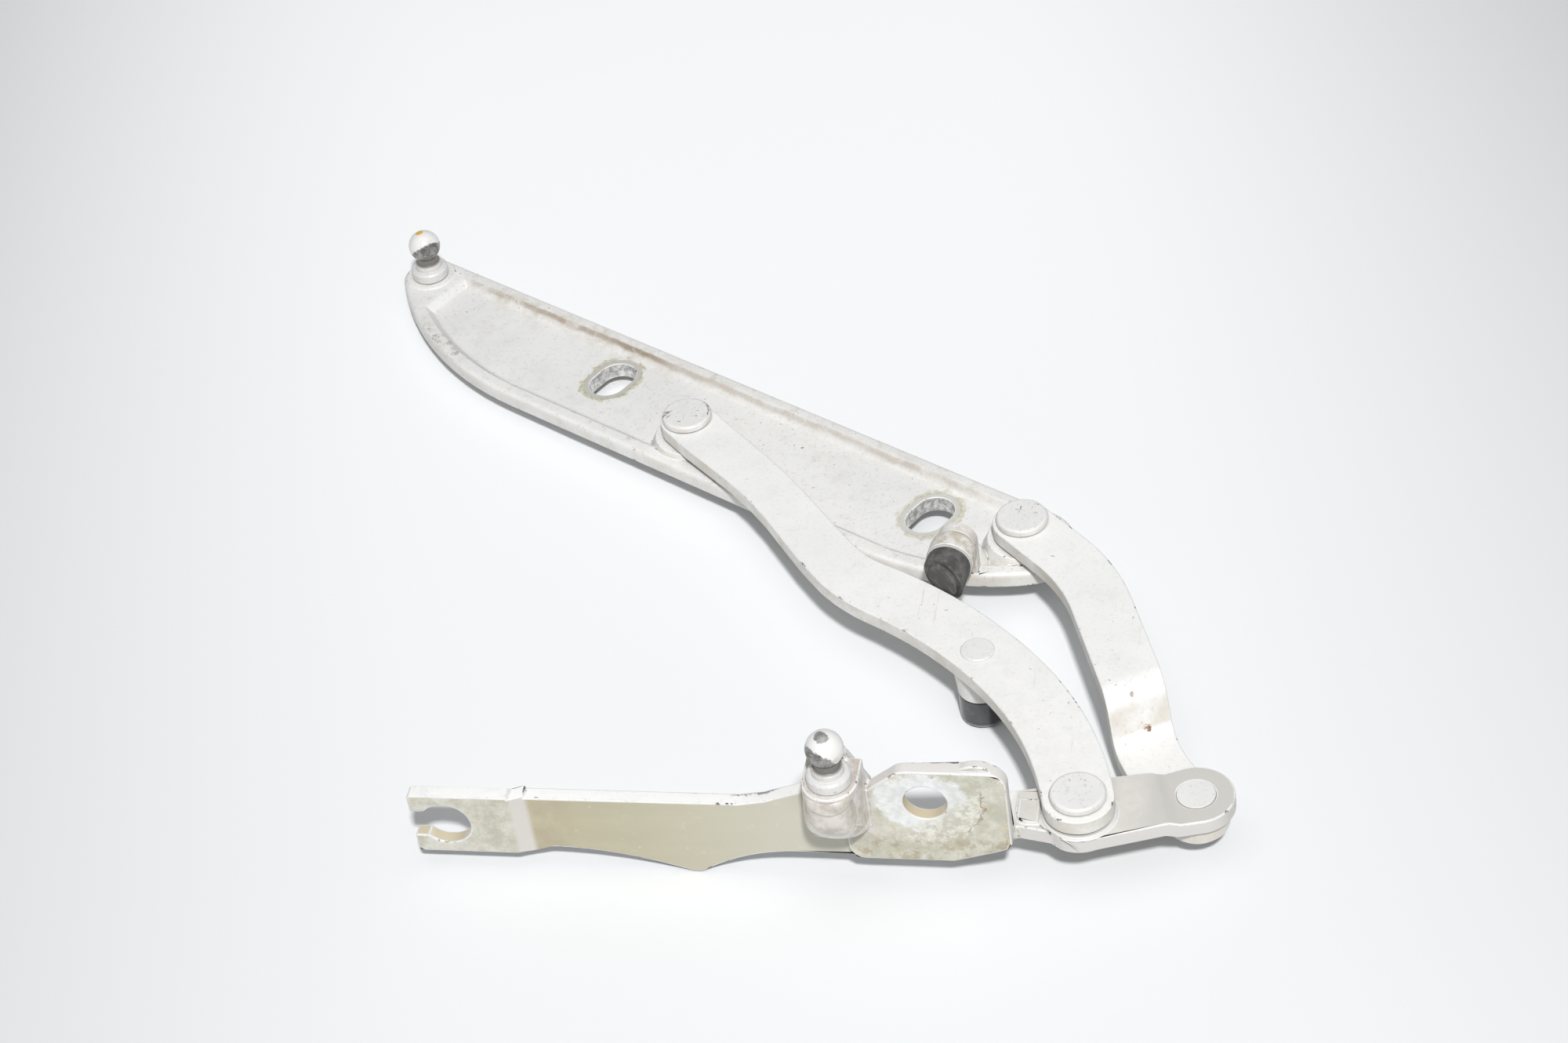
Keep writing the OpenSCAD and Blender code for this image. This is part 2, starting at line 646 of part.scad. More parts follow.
// the strip's lower edge swings down to a blunt rib point
module strip_outline() {
    x0 = -fork_back + 20;
    x1 = -pad_half + 8;
    polygon(concat(
        [[x0, strip_top], [x0, strip_low - 1.4]],
        [for (i = [0:8]) let (t = i / 8) [x0 + 8 + t * (-rib_back - 1.5 - x0 - 8),
            strip_low - rib_drop * pow(t, 1.9)]],
        [for (i = [0:8]) let (t = i / 8) [-rib_back + 1.5 + t * 26,
            strip_low + 1.2 * t - rib_drop * pow(1 - t, 2.2)]],
        [[x1, strip_low + 1.4], [x1, -2], [-body_stud_back - 10, -1], [-rib_back + 14, strip_top]]));
}

module fork_outline() {
    m = fork_mouth / 2;
    x0 = -fork_back - prong_len;
    x1 = -fork_back + 18.5;
    z0 = fork_mid - fork_h / 2;
    z1 = fork_mid + fork_h / 2;
    difference() {
        polygon(concat(
            arc([x0 + 1.8, z0 + 1.8], 1.8, 180, 270, 5),
            [[x1, z0], [x1, z1]],
            arc([x0 + 1.2, z1 - 1.2], 1.2, 90, 180, 5)));
        translate([-fork_back, fork_mid]) circle(r = fork_r);
        translate([x0 - 1, fork_mid - m]) square([prong_len + 1, 2 * m]);
    }
}

// the tab that stands up behind the ball stud
module tab_outline() {
    x = -body_stud_back;
    polygon(concat(
        [[x - 24, -10], [x + 9, -10], [x + 8.2, 3.4]],
        arc([x, body_stud_seat - 1.5], 3.6, 30, 150, 8),
        [[x - 9.5, 1], [x - 16.5, -1.4], [x - 24, strip_top]]));
}

// plan of the tongue: from behind the pad past the round seat to the ear
module tongue_outline() {
    d = [cos(body_angle), sin(body_angle)];
    n = [-sin(body_angle), cos(body_angle)];
    polygon(concat(
        [[4, sheet_t - 0.5], [pad_half - 1, sheet_t - 0.5], [pad_half + 1, pivot_y - seat_r + 4.5],
            [pivot_x - 7, pivot_y - seat_r + 2.8]],
        arc(p_bl, seat_r + 0.2, 245, 300, 8),
        [p_bl + 20 * d - 9.6 * n],
        arc(p_bs, ear_r, body_angle - 100, body_angle + 100, 24),
        [p_bl + 22.5 * d + 9.4 * n, p_bl + 20 * d + 10 * n, p_bl + 8 * d + 11.2 * n, p_bl - 14 * d + 12.5 * n,
            [4, pivot_y + 7]]));
}

// plan of the low step between the pad and the round seat
module step_outline() {
    x = pad_half - 2;
    y = pivot_y - seat_r + 5.5;
    polygon(concat(arc([x + 5, y + 2.5], 2.5, 180, 270, 5),
        [[x + 8.2, y], [x + 8.2, y + 8.5], [x + 2.5, y + 8.5]]));
}

// side view of the tongue along its own direction: level, then a step down to the ear
module tongue_profile() {
    polygon([[-60, tongue_low], [20.5, tongue_low], [23.5, ear_low], [60, ear_low],
        [60, ear_top], [24.5, ear_top], [21.5, tongue_top], [-60, tongue_top]]);
}

module body_bracket() {
    sx = -fork_back + 18.5;
    color("whitesmoke") difference() {
        union() {
            upright(0, sheet_t) pad_outline();
            upright(1.2, sheet_t - 1.2 - touch) translate([pad_half - 8, pad_top - 5.6]) circle(r = 7);
            upright(strip_back, sheet_t) strip_outline();
            upright(0, sheet_t) fork_outline();
            // ramps between the fork, the strip and the pad
            intersection() {
                translate([0, 0, strip_low - 1]) linear_extrude(strip_top - strip_low + 1.8) polygon([
                    [sx - 1, 0], [sx, 0], [sx + 4, strip_back], [sx + 4, strip_back + sheet_t],
                    [sx + 3, strip_back + sheet_t], [sx - 1, sheet_t]]);
                upright(-1, sheet_t + 6) translate([sx - 2, fork_mid - fork_h / 2]) square([8, fork_h]);
            }
            upright(strip_back, sheet_t) tab_outline();
            // column that carries the ball stud, with a foot that runs back into the strip
            intersection() {
                translate([-body_stud_back, -body_stud_out, -12]) union() {
                    cylinder(r = column_r, h = body_stud_seat + 12);
                    translate([-column_r, 0, 0])
                        cube([2 * column_r, body_stud_out + strip_back + 1, body_stud_seat + 12]);
                }
                translate([-body_stud_back - 20, 0, 0]) rotate([90, 0, 90]) linear_extrude(40)
                    polygon([[strip_back + 1, -11], [strip_back - 0.5, -11], [-3, -6],
                        [-body_stud_out - 3, 0], [-body_stud_out - column_r - 1, 5],
                        [-body_stud_out - column_r - 1, body_stud_seat], [strip_back + 1, body_stud_seat]]);
            }
            // tongue with the bend that joins it to the flange
            intersection() {
                translate([0, 0, ear_low - 1]) linear_extrude(seat_top - ear_low + 2) tongue_outline();
                translate([p_bl[0], p_bl[1], 0]) rotate(body_angle) translate([0, 60, 0]) rotate([90, 0, 0])
                    linear_extrude(120) tongue_profile();
            }
            hole(p_bl, seat_r, tongue_low + 0.5, seat_top);
            translate([0, 0, tongue_top - 1]) linear_extrude(1.7) step_outline();
            translate([4, sheet_t - lap, tongue_top - lap]) difference() {
                cube([pad_half - 5, 4 + lap, 4 + lap]);
                translate([-1, 4 + lap, 4 + lap]) rotate([0, 90, 0]) cylinder(r = 4, h = pad_half);
            }
        }
        translate([0, -1, 0]) rotate([-90, 0, 0]) cylinder(r = fix_r, h = sheet_t + 2);
        hole(p_bl, pin_r, tongue_low - 1, seat_top + 1);
        hole(p_bs, pin_r, ear_low - 1, ear_top + 1);
        hole(p_bs, flush_head_r, ear_top - 1.5, ear_top + 1);
        hole([-body_stud_back, -body_stud_out], stud_shank_r, body_stud_seat - stud_grip, body_stud_seat + 1);
    }
}

body_bracket();
long_link();
short_link();
lid_plate();
body_ball_stud();
lid_ball_stud();
body_long_pin();
lid_long_pin();
body_short_pin();
lid_short_pin();
body_long_bush();
lid_long_bush();
body_short_bush();
lid_short_bush();
stop_pin();
stop_sleeve();
stop_buffer();
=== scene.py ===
"""Looks of the boot lid hinge: worn white paint, bare steel, rubber, a pale floor and the camera."""
import json
import math

import bpy
from mathutils import Matrix, Vector, noise


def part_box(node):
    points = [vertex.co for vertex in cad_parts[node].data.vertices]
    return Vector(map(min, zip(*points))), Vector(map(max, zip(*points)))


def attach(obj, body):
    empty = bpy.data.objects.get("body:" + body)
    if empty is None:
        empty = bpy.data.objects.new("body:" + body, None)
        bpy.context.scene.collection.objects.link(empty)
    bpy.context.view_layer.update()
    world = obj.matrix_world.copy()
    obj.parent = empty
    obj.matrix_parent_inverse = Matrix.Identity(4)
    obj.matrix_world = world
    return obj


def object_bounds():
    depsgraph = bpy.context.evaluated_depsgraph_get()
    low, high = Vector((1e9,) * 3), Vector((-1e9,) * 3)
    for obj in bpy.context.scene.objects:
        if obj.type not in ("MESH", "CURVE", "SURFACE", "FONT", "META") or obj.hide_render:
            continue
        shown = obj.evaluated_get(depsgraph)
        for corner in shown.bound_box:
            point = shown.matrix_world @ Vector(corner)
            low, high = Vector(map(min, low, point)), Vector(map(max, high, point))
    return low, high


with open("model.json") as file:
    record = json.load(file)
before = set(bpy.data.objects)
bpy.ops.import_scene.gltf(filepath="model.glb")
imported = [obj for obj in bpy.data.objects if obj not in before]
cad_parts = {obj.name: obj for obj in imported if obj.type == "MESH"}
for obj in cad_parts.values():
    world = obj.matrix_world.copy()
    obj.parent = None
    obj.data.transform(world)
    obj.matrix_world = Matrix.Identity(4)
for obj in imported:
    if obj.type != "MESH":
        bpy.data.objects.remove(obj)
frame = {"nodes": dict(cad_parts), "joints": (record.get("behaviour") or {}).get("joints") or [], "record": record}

cad_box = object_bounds()
nodes = frame["nodes"]
MM = 0.001
X = Vector((1, 0, 0))
Y = Vector((0, 1, 0))
Z = Vector((0, 0, 1))


def mm(*values):
    return tuple(value * MM for value in values)


# pivots and mounts from the frame, and the lid plate's own directions
pivot = {joint["name"]: Vector(joint["pos_m"]) for joint in frame["joints"]}
mount = {m["name"]: Vector(m["pos_m"]) for m in frame["record"]["mounts"]}
LID_ANGLE = math.radians(-30)
LID_U = Vector((math.cos(LID_ANGLE), math.sin(LID_ANGLE), 0))
LID_V = Vector((-LID_U.y, LID_U.x, 0))

# the photograph's camera, and the point that it is centred on
AIM = Vector((-56.2, 116.2, -6)) * MM
AZIMUTH, ELEVATION, ROLL = math.radians(15), math.radians(40), math.radians(-9)
CAMERA_DISTANCE = 983 * MM
SENSOR_WIDTH = 36
LENS = 79.2
LEVEL = Vector((math.cos(AZIMUTH), math.sin(AZIMUTH), 0))
AWAY = Vector((-math.sin(AZIMUTH), math.cos(AZIMUTH), 0))

# sizes that the finishes follow; in each pair here and below a change starts at the first value and is
# full at the second
SLOT_PITCH = 123 * MM
SLOT_HALF_W = 5.75 * MM
SLOT_STRAIGHT = 2.25 * MM
SLOT_WALL_GAP = mm(0.25, 0.1)
HOLE_R = 5.7 * MM
BORE_WALL = (HOLE_R + 0.3 * MM, HOLE_R + 0.1 * MM)
RIB_POINT = Vector((-64, 4, 0)) * MM
FLOOR_GAP = 0.3 * MM
DULL_REACH = mm(125, 55)
SHORT_DULL_OFFSET = 60 * MM
WASHER_BAND = mm(2.4, 1.8)
CRUST_OUTER = mm(3.5, 2.9)
CRUST_INNER = mm(1.1, 1.9)
SLEEVE_RING_TOP = mm(1.5, 1.0)

# the lid plate: the level of its rim, then along it (u) and across it (v) from its pivot on the long link
RIM_TOP = -13 * MM
CROWN_BELOW = (RIM_TOP - 0.9 * MM, RIM_TOP - 0.2 * MM)
CROWN_ABOVE = (RIM_TOP + 0.8 * MM, RIM_TOP + 0.4 * MM)
RIM_FOOT = 23.9 * MM
LINE_LEFT_END = mm(-118, -106)
LINE_RIGHT_END = mm(104, 84)
LINE_HEAVIER = mm(0, -60)
LINE_WORST = -42 * MM
LINE_WORST_REACH = mm(26, 4)
LINE_REACH = mm(1.1, 0.2)
WASH_REACH = mm(4.5, 0.4)
RUBBED_U = mm(-86, -92)
RUBBED_V = mm(2, -4)
RIM_CHIP = pivot["lid_turn"] - 74.5 * MM * LID_U + 26 * MM * LID_V - 4 * MM * Z
RIM_CHIP_REACH = mm(4.6, 4.2)
BUFFER_DIRT_REACH = mm(17, 8)

# the bracket along x, from its fixing hole
FORK_SLOT = mm(-121, -123)
FORK_FROM = mm(-110.5, -112.5)
FORK_BEND = -109.5 * MM
BEND_HIGHLIGHT_REACH = mm(3.4, 1.4)
FILM_BROWN_FROM = mm(-90, -104)
FILM_PALE_FROM = mm(-95, -25)
TORN_LEFT, TORN_RIGHT = mm(-53, -50), mm(-38, -41)
STRIP_TOP_HIGHLIGHT = mm(-26, -32)
PAD_COARSE = mm(-24, -19)
PAD_LEFT, PAD_RIGHT = mm(-23, -20), mm(22, 21)
PAD_SEAM = mm(-23, -20.5)
TONGUE_SEAM = mm(21.3, 22.3)
TONGUE_FROM = mm(20, 22)
EAR_FROM = mm(52, 58)
# the bracket upwards, its far edge along y, and the column round the ball stud's axis
CREST_FROM = mm(0, 3)
LOW_EDGE = mm(-10, -15)
COLUMN_FOOT = mm(-16, -9)
COLUMN_BEHIND = mm(4.5, 2.5)
FAR_EDGE = 5.9 * MM
TORN_REACH = mm(1.1, 0.7)
COLUMN_REACH = mm(11.5, 8.5)
COLUMN_DEPTH = 0.8
# the pad's front, out from its fixing hole; the rings are a little flattened
RING_FLATNESS = 1.1
CHALK_REACH = mm(13.5, 11.5)
YELLOW_FROM = mm(7, 12)
LOW_RIGHT = 0.6 * X - 0.8 * Z
SEALER_FROM = mm(2, 8)
SEALER_REACH = mm(17, 14.5)
CRACK_R = 15.2 * MM
CRACK_WIDTH = mm(0.40, 0.12)
CRACK_RIGHT = mm(8, 11)
CRACK_LOW, CRACK_HIGH = mm(-13, -10), mm(6, 3)

# colours, linear; pairs are the dark and the pale tone of a mottled finish
WHITE = (0.80, 0.795, 0.78)
DUST = (0.60, 0.588, 0.555)
DIRT = (0.27, 0.20, 0.135)
GREY_DIRT = (0.40, 0.38, 0.34)
BROWN_FILM = (0.50, 0.44, 0.34)
CHIP = (0.10, 0.09, 0.08)
OLIVE = (0.47, 0.435, 0.305)
PALE_OLIVE = (0.56, 0.54, 0.455)
OCHRE = (0.55, 0.41, 0.19)
TONGUE = (0.575, 0.555, 0.52)
PINK_GREY = (0.66, 0.635, 0.61)
FILM_BROWN = (0.42, 0.34, 0.24)
PAD_GRIME = (0.36, 0.29, 0.18)
HOLE_YELLOW = (0.56, 0.48, 0.31)
WASHER_GREY = (0.47, 0.46, 0.425)
NECK_DARK = (0.09, 0.08, 0.068)
DAB_ORANGE = (0.70, 0.42, 0.07)
SLEEVE_BLACK = (0.095, 0.095, 0.10)
SLEEVE_DUST = (0.23, 0.23, 0.23)
SLEEVE_RING = (0.30, 0.30, 0.30)
RUBBER_SPECK = (0.38, 0.36, 0.33)
RUST = ((0.15, 0.07, 0.035), (0.30, 0.17, 0.10))
CRUST = ((0.36, 0.34, 0.21), (0.60, 0.575, 0.43))
SLOT_WALL = ((0.46, 0.455, 0.44), (0.90, 0.895, 0.88))
PAD = ((0.48, 0.465, 0.375), (0.64, 0.63, 0.55))
SEALER = ((0.50, 0.475, 0.385), (0.74, 0.725, 0.64))
CHALK = ((0.66, 0.675, 0.67), (0.82, 0.83, 0.825))
FORK = ((0.47, 0.455, 0.36), (0.655, 0.64, 0.575))
COLUMN = ((0.43, 0.375, 0.33), (0.66, 0.62, 0.585))
GLAZE = ((0.46, 0.415, 0.36), (0.66, 0.63, 0.58))
STEEL = ((0.15, 0.145, 0.135), (0.38, 0.37, 0.355))
BRONZE = ((0.24, 0.17, 0.08), (0.42, 0.31, 0.15))
RUBBER = ((0.065, 0.064, 0.063), (0.16, 0.155, 0.15))

# rust marks on the short link: place, size and strength
RUST_SPOTS = (
    (Vector((48.2, 50.6, -8)) * MM, 0.75 * MM, 0.65),
    (Vector((52.2, 47.1, -16.8)) * MM, 1.2 * MM, 0.95),
)
# scratches on two pin heads: a line in plan from the head's centre and its width, in mm
LONG_PIN_MARKS = (
    (-6.9, -1.8, -5.0, 0.2, 0.45), (-6.6, -0.2, -4.4, 0.9, 0.3), (-5.6, -2.6, -4.6, -1.2, 0.28),
    (4.4, 5.4, 5.9, 3.6, 0.4), (5.9, 3.0, 6.6, 1.2, 0.35), (6.5, 0.4, 6.5, -1.6, 0.3),
)
SHORT_PIN_MARKS = ((-0.9, 0.8, -0.5, 3.6, 0.22), (-2, 2.4, 0.2, 2.0, 0.16))
# the balls: the side where the paint is worn off, smaller rubbed places and a dab of orange paint
BODY_BARE_SIDE = Vector((-0.48, -0.65, -0.60))
BODY_BARE_FROM = 1.7 * MM
BODY_RUBS = ((Vector((0, -0.9, 4.9)) * MM, 1.9 * MM), (Vector((-4.4, -2.2, 1.2)) * MM, 1.9 * MM))
LID_BARE_SIDE = Vector((0.44, -0.52, -0.73))
LID_BARE_FROM = 0.8 * MM
LID_DAB = Vector((-0.8, 0.2, 4.9)) * MM
DAB_REACH = mm(1.4, 1.1)
BARE_EDGE = 0.5 * MM
# the neck and the collar, upwards from the ball's centre
COLLAR_FROM = mm(-3.7, -4.1)
NECK_LOW, NECK_HIGH = mm(-6.5, -5.9), mm(-3.3, -3.9)

# the paint bead on the column, in mm: height of a section, then its reach to the left, to the right and to
# the front of the ball stud's axis
BEAD_SECTIONS = (
    (12.3, 6.6, 6.5, 6.9), (11.5, 7.5, 7.5, 7.45), (9.0, 7.6, 7.5, 7.4), (6.5, 8.0, 7.6, 7.5),
    (3.5, 8.3, 7.6, 7.5), (0.5, 8.5, 7.6, 6.9), (-2.0, 8.6, 7.6, 4.9), (-4.5, 8.8, 7.7, 3.2),
    (-7.0, 8.9, 7.7, 1.0), (-9.0, 8.6, 7.6, -2.0), (-10.5, 8.2, 7.5, -5.0), (-11.6, 7.2, 6.8, -7.0),
)
BEAD_BACK = 8.3
BEAD_STEPS = 24
BEAD_SQUARENESS = 2 / 3
BEAD_LUMP = 0.5
BEAD_LUMP_SIZE = 3.6
BEAD_SMOOTHING = 2
# the bead's pale lip, and the painted shade along the fold that rises to both sides of the stud's axis
LIP_FROM = mm(-3.5, -5.5)
FOLD_HEIGHT = 6.6 * MM
FOLD_ROUND = 2.5 * MM
FOLD_SLOPE = 0.5
FOLD_SHADE_REACH = mm(0.5, 0.15)

# the floor's painted light near and far, the painted shade on both sides, and how far each change reaches in
# metres
FLOOR_SIZE = 3.0
FLOOR_PAINTED_LIGHT = ((0.735, 0.748, 0.757), (0.955, 0.97, 0.98))
FLOOR_UNSHADED = (1.0, 1.0, 1.0)
FLOOR_PAINTED_SHADES = ((0.68, 0.68, 0.685), (0.51, 0.51, 0.515))
FLOOR_SIDEWAYS = (0.08, 0.42)
FLOOR_AWAY = (-0.25, 0.40)
FLOOR_SPECULAR = 0.1
SKY = (0.97, 0.985, 1, 1)
SKY_STRENGTH = 0.22

# what counts as facing a direction and as upright, by the cosine; samples of the corner search
FACING = (0.45, 0.85)
STANDING = (0.75, 0.4)
CREVICE_SAMPLES = 8
PEEL_DEPTH = 0.035 * MM

# the modifiers that round the CAD nodes' edges
FLAT_ANGLE = math.radians(0.5)
SHARP_ANGLE = math.radians(38)
WELD_GAP = 0.001 * MM
BRACKET_WELD_GAP = 0.03 * MM
LINK_ROUND = 0.45 * MM
PLATE_ROUND = 0.3 * MM
BRACKET_ROUND = 0.5 * MM
PIN_ROUND = 0.2 * MM
STUD_ROUND = 0.15 * MM
ROUND_SEGMENTS = 3


def scaled(colour, k):
    return tuple(k * c for c in colour)


def middle(node):
    low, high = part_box(node)
    return (Vector(low) + Vector(high)) / 2


class Graph:
    """A material's node tree, with short calls for the nodes that the finishes use."""

    def __init__(self, name):
        self.material = bpy.data.materials.new(name)
        self.material.use_nodes = True
        self.tree = self.material.node_tree
        self.shader = self.tree.nodes["Principled BSDF"]
        coordinate = self.tree.nodes.new("ShaderNodeTexCoord")
        self.at = coordinate.outputs["Object"]
        self.normal = coordinate.outputs["Normal"]

    def put(self, socket, value):
        if isinstance(value, bpy.types.NodeSocket):
            self.tree.links.new(value, socket)
        elif isinstance(value, tuple) and socket.type == "RGBA":
            socket.default_value = (*value, 1)
        else:
            socket.default_value = value

    def math(self, operation, a, b=0.0):
        node = self.tree.nodes.new("ShaderNodeMath")
        node.operation = operation
        self.put(node.inputs[0], a)
        self.put(node.inputs[1], b)
        return node.outputs[0]

    def chain(self, operation, first, others):
        for other in others:
            first = self.math(operation, first, other)
        return first

    def times(self, first, *others):
        return self.chain("MULTIPLY", first, others)

    def plus(self, first, *others):
        return self.chain("ADD", first, others)

    def most(self, first, *others):
        return self.chain("MAXIMUM", first, others)

    def less(self, a, b):
        return self.math("SUBTRACT", a, b)

    def size(self, a):
        return self.math("ABSOLUTE", a)

    def length2(self, a, b):
        return self.math("SQRT", self.plus(self.times(a, a), self.times(b, b)))

    def vector_math(self, operation, a, b):
        node = self.tree.nodes.new("ShaderNodeVectorMath")
        node.operation = operation
        self.put(node.inputs[0], a)
        self.put(node.inputs[1], b)
        return node.outputs["Value"]

    def dot(self, direction, origin=(0, 0, 0)):
        """Distance along a direction from an origin."""
        return self.less(self.vector_math("DOT_PRODUCT", self.at, direction), direction.dot(Vector(origin)))

    def distance(self, point):
        return self.vector_math("DISTANCE", self.at, point)

    def fade(self, value, start, end):
        """0 at start and 1 at end, smooth between them."""
        rising = start < end
        node = self.tree.nodes.new("ShaderNodeMapRange")
        node.interpolation_type = "SMOOTHSTEP"
        self.put(node.inputs["Value"], value)
        node.inputs["From Min"].default_value = min(start, end)
        node.inputs["From Max"].default_value = max(start, end)
        node.inputs["To Min"].default_value = 0 if rising else 1
        node.inputs["To Max"].default_value = 1 if rising else 0
        return node.outputs[0]

    def noise(self, size, detail=3.0, rough=0.55, seed=0.0, stretch=None):
        """Noise whose patches are about size metres across."""
        node = self.tree.nodes.new("ShaderNodeTexNoise")
        mapping = self.tree.nodes.new("ShaderNodeMapping")
        mapping.inputs["Location"].default_value = (seed, seed * 0.7, seed * 1.3)
        if stretch:
            mapping.inputs["Scale"].default_value = stretch
        self.put(mapping.inputs["Vector"], self.at)
        self.put(node.inputs["Vector"], mapping.outputs[0])
        node.inputs["Scale"].default_value = 0.5 / size
        node.inputs["Detail"].default_value = detail
        node.inputs["Roughness"].default_value = rough
        return node.outputs["Fac"]

    def patches(self, size, start, end, **kind):
        """Noise cut to soft-edged patches: 0 where it is at start and 1 where it is at end."""
        return self.fade(self.noise(size, **kind), start, end)

    def ragged(self, distance, size, amount, seed, rough=0.7):
        """A distance made uneven by noise, so that what is cut from it has a ragged edge."""
        wander = self.less(self.noise(size, detail=5, rough=rough, seed=seed), 0.5)
        return self.plus(distance, self.times(wander, amount))

    def facing(self, direction):
        """1 on faces that look along a direction."""
        return self.fade(self.vector_math("DOT_PRODUCT", self.normal, direction), *FACING)

    def standing(self):
        """1 on upright faces, 0 on level ones."""
        return self.fade(self.size(self.vector_math("DOT_PRODUCT", self.normal, Z)), *STANDING)

    def segment(self, start, end):
        """Distance in plan from the straight line between two points."""
        along = Vector((end.x - start.x, end.y - start.y, 0))
        length = along.length
        along = along / length
        run = self.dot(along, start)
        inside = self.math("MINIMUM", self.most(run, 0.0), length)
        return self.length2(self.less(run, inside), self.dot(Vector((-along.y, along.x, 0)), start))

    def crevice(self, reach):
        """1 in corners and under overhangs, 0 on open faces."""
        node = self.tree.nodes.new("ShaderNodeAmbientOcclusion")
        node.samples = CREVICE_SAMPLES
        node.inputs["Distance"].default_value = reach
        return self.less(1.0, node.outputs["AO"])

    def mix(self, share, a, b, blend="MIX"):
        """Two colours mixed by a share."""
        node = self.tree.nodes.new("ShaderNodeMix")
        node.data_type = "RGBA"
        node.blend_type = blend
        self.put(node.inputs[0], share)
        self.put(node.inputs[6], a)
        self.put(node.inputs[7], b)
        return node.outputs[2]

    def between(self, share, a, b):
        """Two numbers mixed by a share."""
        node = self.tree.nodes.new("ShaderNodeMix")
        self.put(node.inputs[0], share)
        self.put(node.inputs[2], a)
        self.put(node.inputs[3], b)
        return node.outputs[0]

    def mottled(self, tones, size, start, end, **kind):
        """Two tones mixed in patches."""
        return self.mix(self.patches(size, start, end, **kind), *tones)

    def over(self, colour, tone, *masks, share):
        """A colour with a share of a tone over it, where all the masks meet."""
        return self.mix(self.times(*masks, share), colour, tone)

    def bump(self, height, depth):
        node = self.tree.nodes.new("ShaderNodeBump")
        node.inputs["Strength"].default_value = 1
        node.inputs["Distance"].default_value = depth
        self.put(node.inputs["Height"], height)
        self.put(self.shader.inputs["Normal"], node.outputs[0])

    def finish(self, colour, roughness, metallic=0.0):
        self.put(self.shader.inputs["Base Color"], colour)
        self.put(self.shader.inputs["Roughness"], roughness)
        self.put(self.shader.inputs["Metallic"], metallic)
        return self.material


def painted(g, base, soil=1.0, specks=1.0):
    """Old white paint: soft blotches, dust, grain, grime and painted shade in corners, and dark specks."""
    colour = g.mottled((base, scaled(base, 0.94)), 14 * MM, 0.35, 0.72, detail=4)
    cloud = g.patches(3.4 * MM, 0.46, 0.74, detail=8, rough=0.75, seed=5)
    colour = g.over(colour, DUST, cloud, share=0.40 * soil)
    grain = g.patches(0.5 * MM, 0.54, 0.70, rough=0.6, seed=7)
    colour = g.over(colour, GREY_DIRT, grain, share=0.20 * specks)
    # grime and painted shade: darker in corners and under overhangs, from the corner search
    corner = g.ragged(g.crevice(3.0 * MM), 1.6 * MM, 0.5, seed=3)
    colour = g.over(colour, GREY_DIRT, g.fade(corner, 0.32, 0.9), share=0.65 * soil)
    speck = g.patches(0.6 * MM, 0.69, 0.76, detail=2, rough=0.5, seed=8)
    cluster = g.patches(9 * MM, 0.42, 0.60, seed=11)
    return g.over(colour, DIRT, speck, cluster, share=0.75 * specks)


def chipped(g, colour, chips):
    """Chips through paint to dark metal. Gives the colour and the chips' mask."""
    level = 0.66 - 0.08 * chips
    chip = g.patches(1.1 * MM, level, level + 0.04, detail=5, rough=0.65, seed=17)
    chip = g.times(chip, g.patches(7 * MM, 0.5, 0.6, seed=19), min(chips, 1.0))
    return g.mix(chip, colour, CHIP), chip


def side_film(g, colour, share, size=6 * MM, start=0.35, end=0.7):
    """Brown film on upright faces."""
    film = g.patches(size, start, end, detail=5, rough=0.65, seed=33)
    return g.over(colour, BROWN_FILM, g.standing(), film, share=share)


def orange_peel(g):
    """The slight unevenness of sprayed paint."""
    return g.noise(1.2 * MM, rough=0.5, seed=23)


def paint_bump(g, chip=None):
    """Orange peel, with any chips sunk into it."""
    height = orange_peel(g)
    if chip is not None:
        height = g.less(height, g.times(chip, 1.5))
    g.bump(height, depth=PEEL_DEPTH)


def link_paint(name, dull_at, spots=()):
    """A link: duller round its body pivot, with brown dirt on its sides and a few rust marks."""
    g = Graph(name)
    colour = painted(g, scaled(WHITE, 1.03), soil=0.7, specks=0.9)
    near = g.fade(g.distance(dull_at), *DULL_REACH)
    worn = g.patches(2.2 * MM, 0.3, 0.62, detail=7, rough=0.75, seed=27)
    colour = g.over(colour, DUST, near, worn, share=0.15)
    scratch = g.patches(0.8 * MM, 0.66, 0.75, rough=0.6, seed=29, stretch=(1, 0.06, 1))
    colour = g.over(colour, GREY_DIRT, scratch, share=0.3)
    colour = side_film(g, colour, 0.6, start=0.28, end=0.66)
    for point, size, share in spots:
        edge = g.ragged(g.distance(point), 0.9 * MM, 3.4 * size, seed=31)
        tone = g.mottled(RUST, 0.6 * MM, 0.4, 0.6, seed=35)
        colour = g.over(colour, tone, g.fade(edge, 1.15 * size, 0.8 * size), share=share)
    paint_bump(g)
    return g.finish(colour, roughness=0.40)


def edge_paint(name, base=WHITE, chips=1.0):
    """Paint on rounded edges, where it is thin, yellowed and chipped."""
    g = Graph(name)
    colour, chip = chipped(g, painted(g, base, soil=1.2, specks=1.2), chips)
    colour = side_film(g, colour, 0.4)
    paint_bump(g, chip)
    return g.finish(colour, roughness=g.between(chip, 0.36, 0.6))


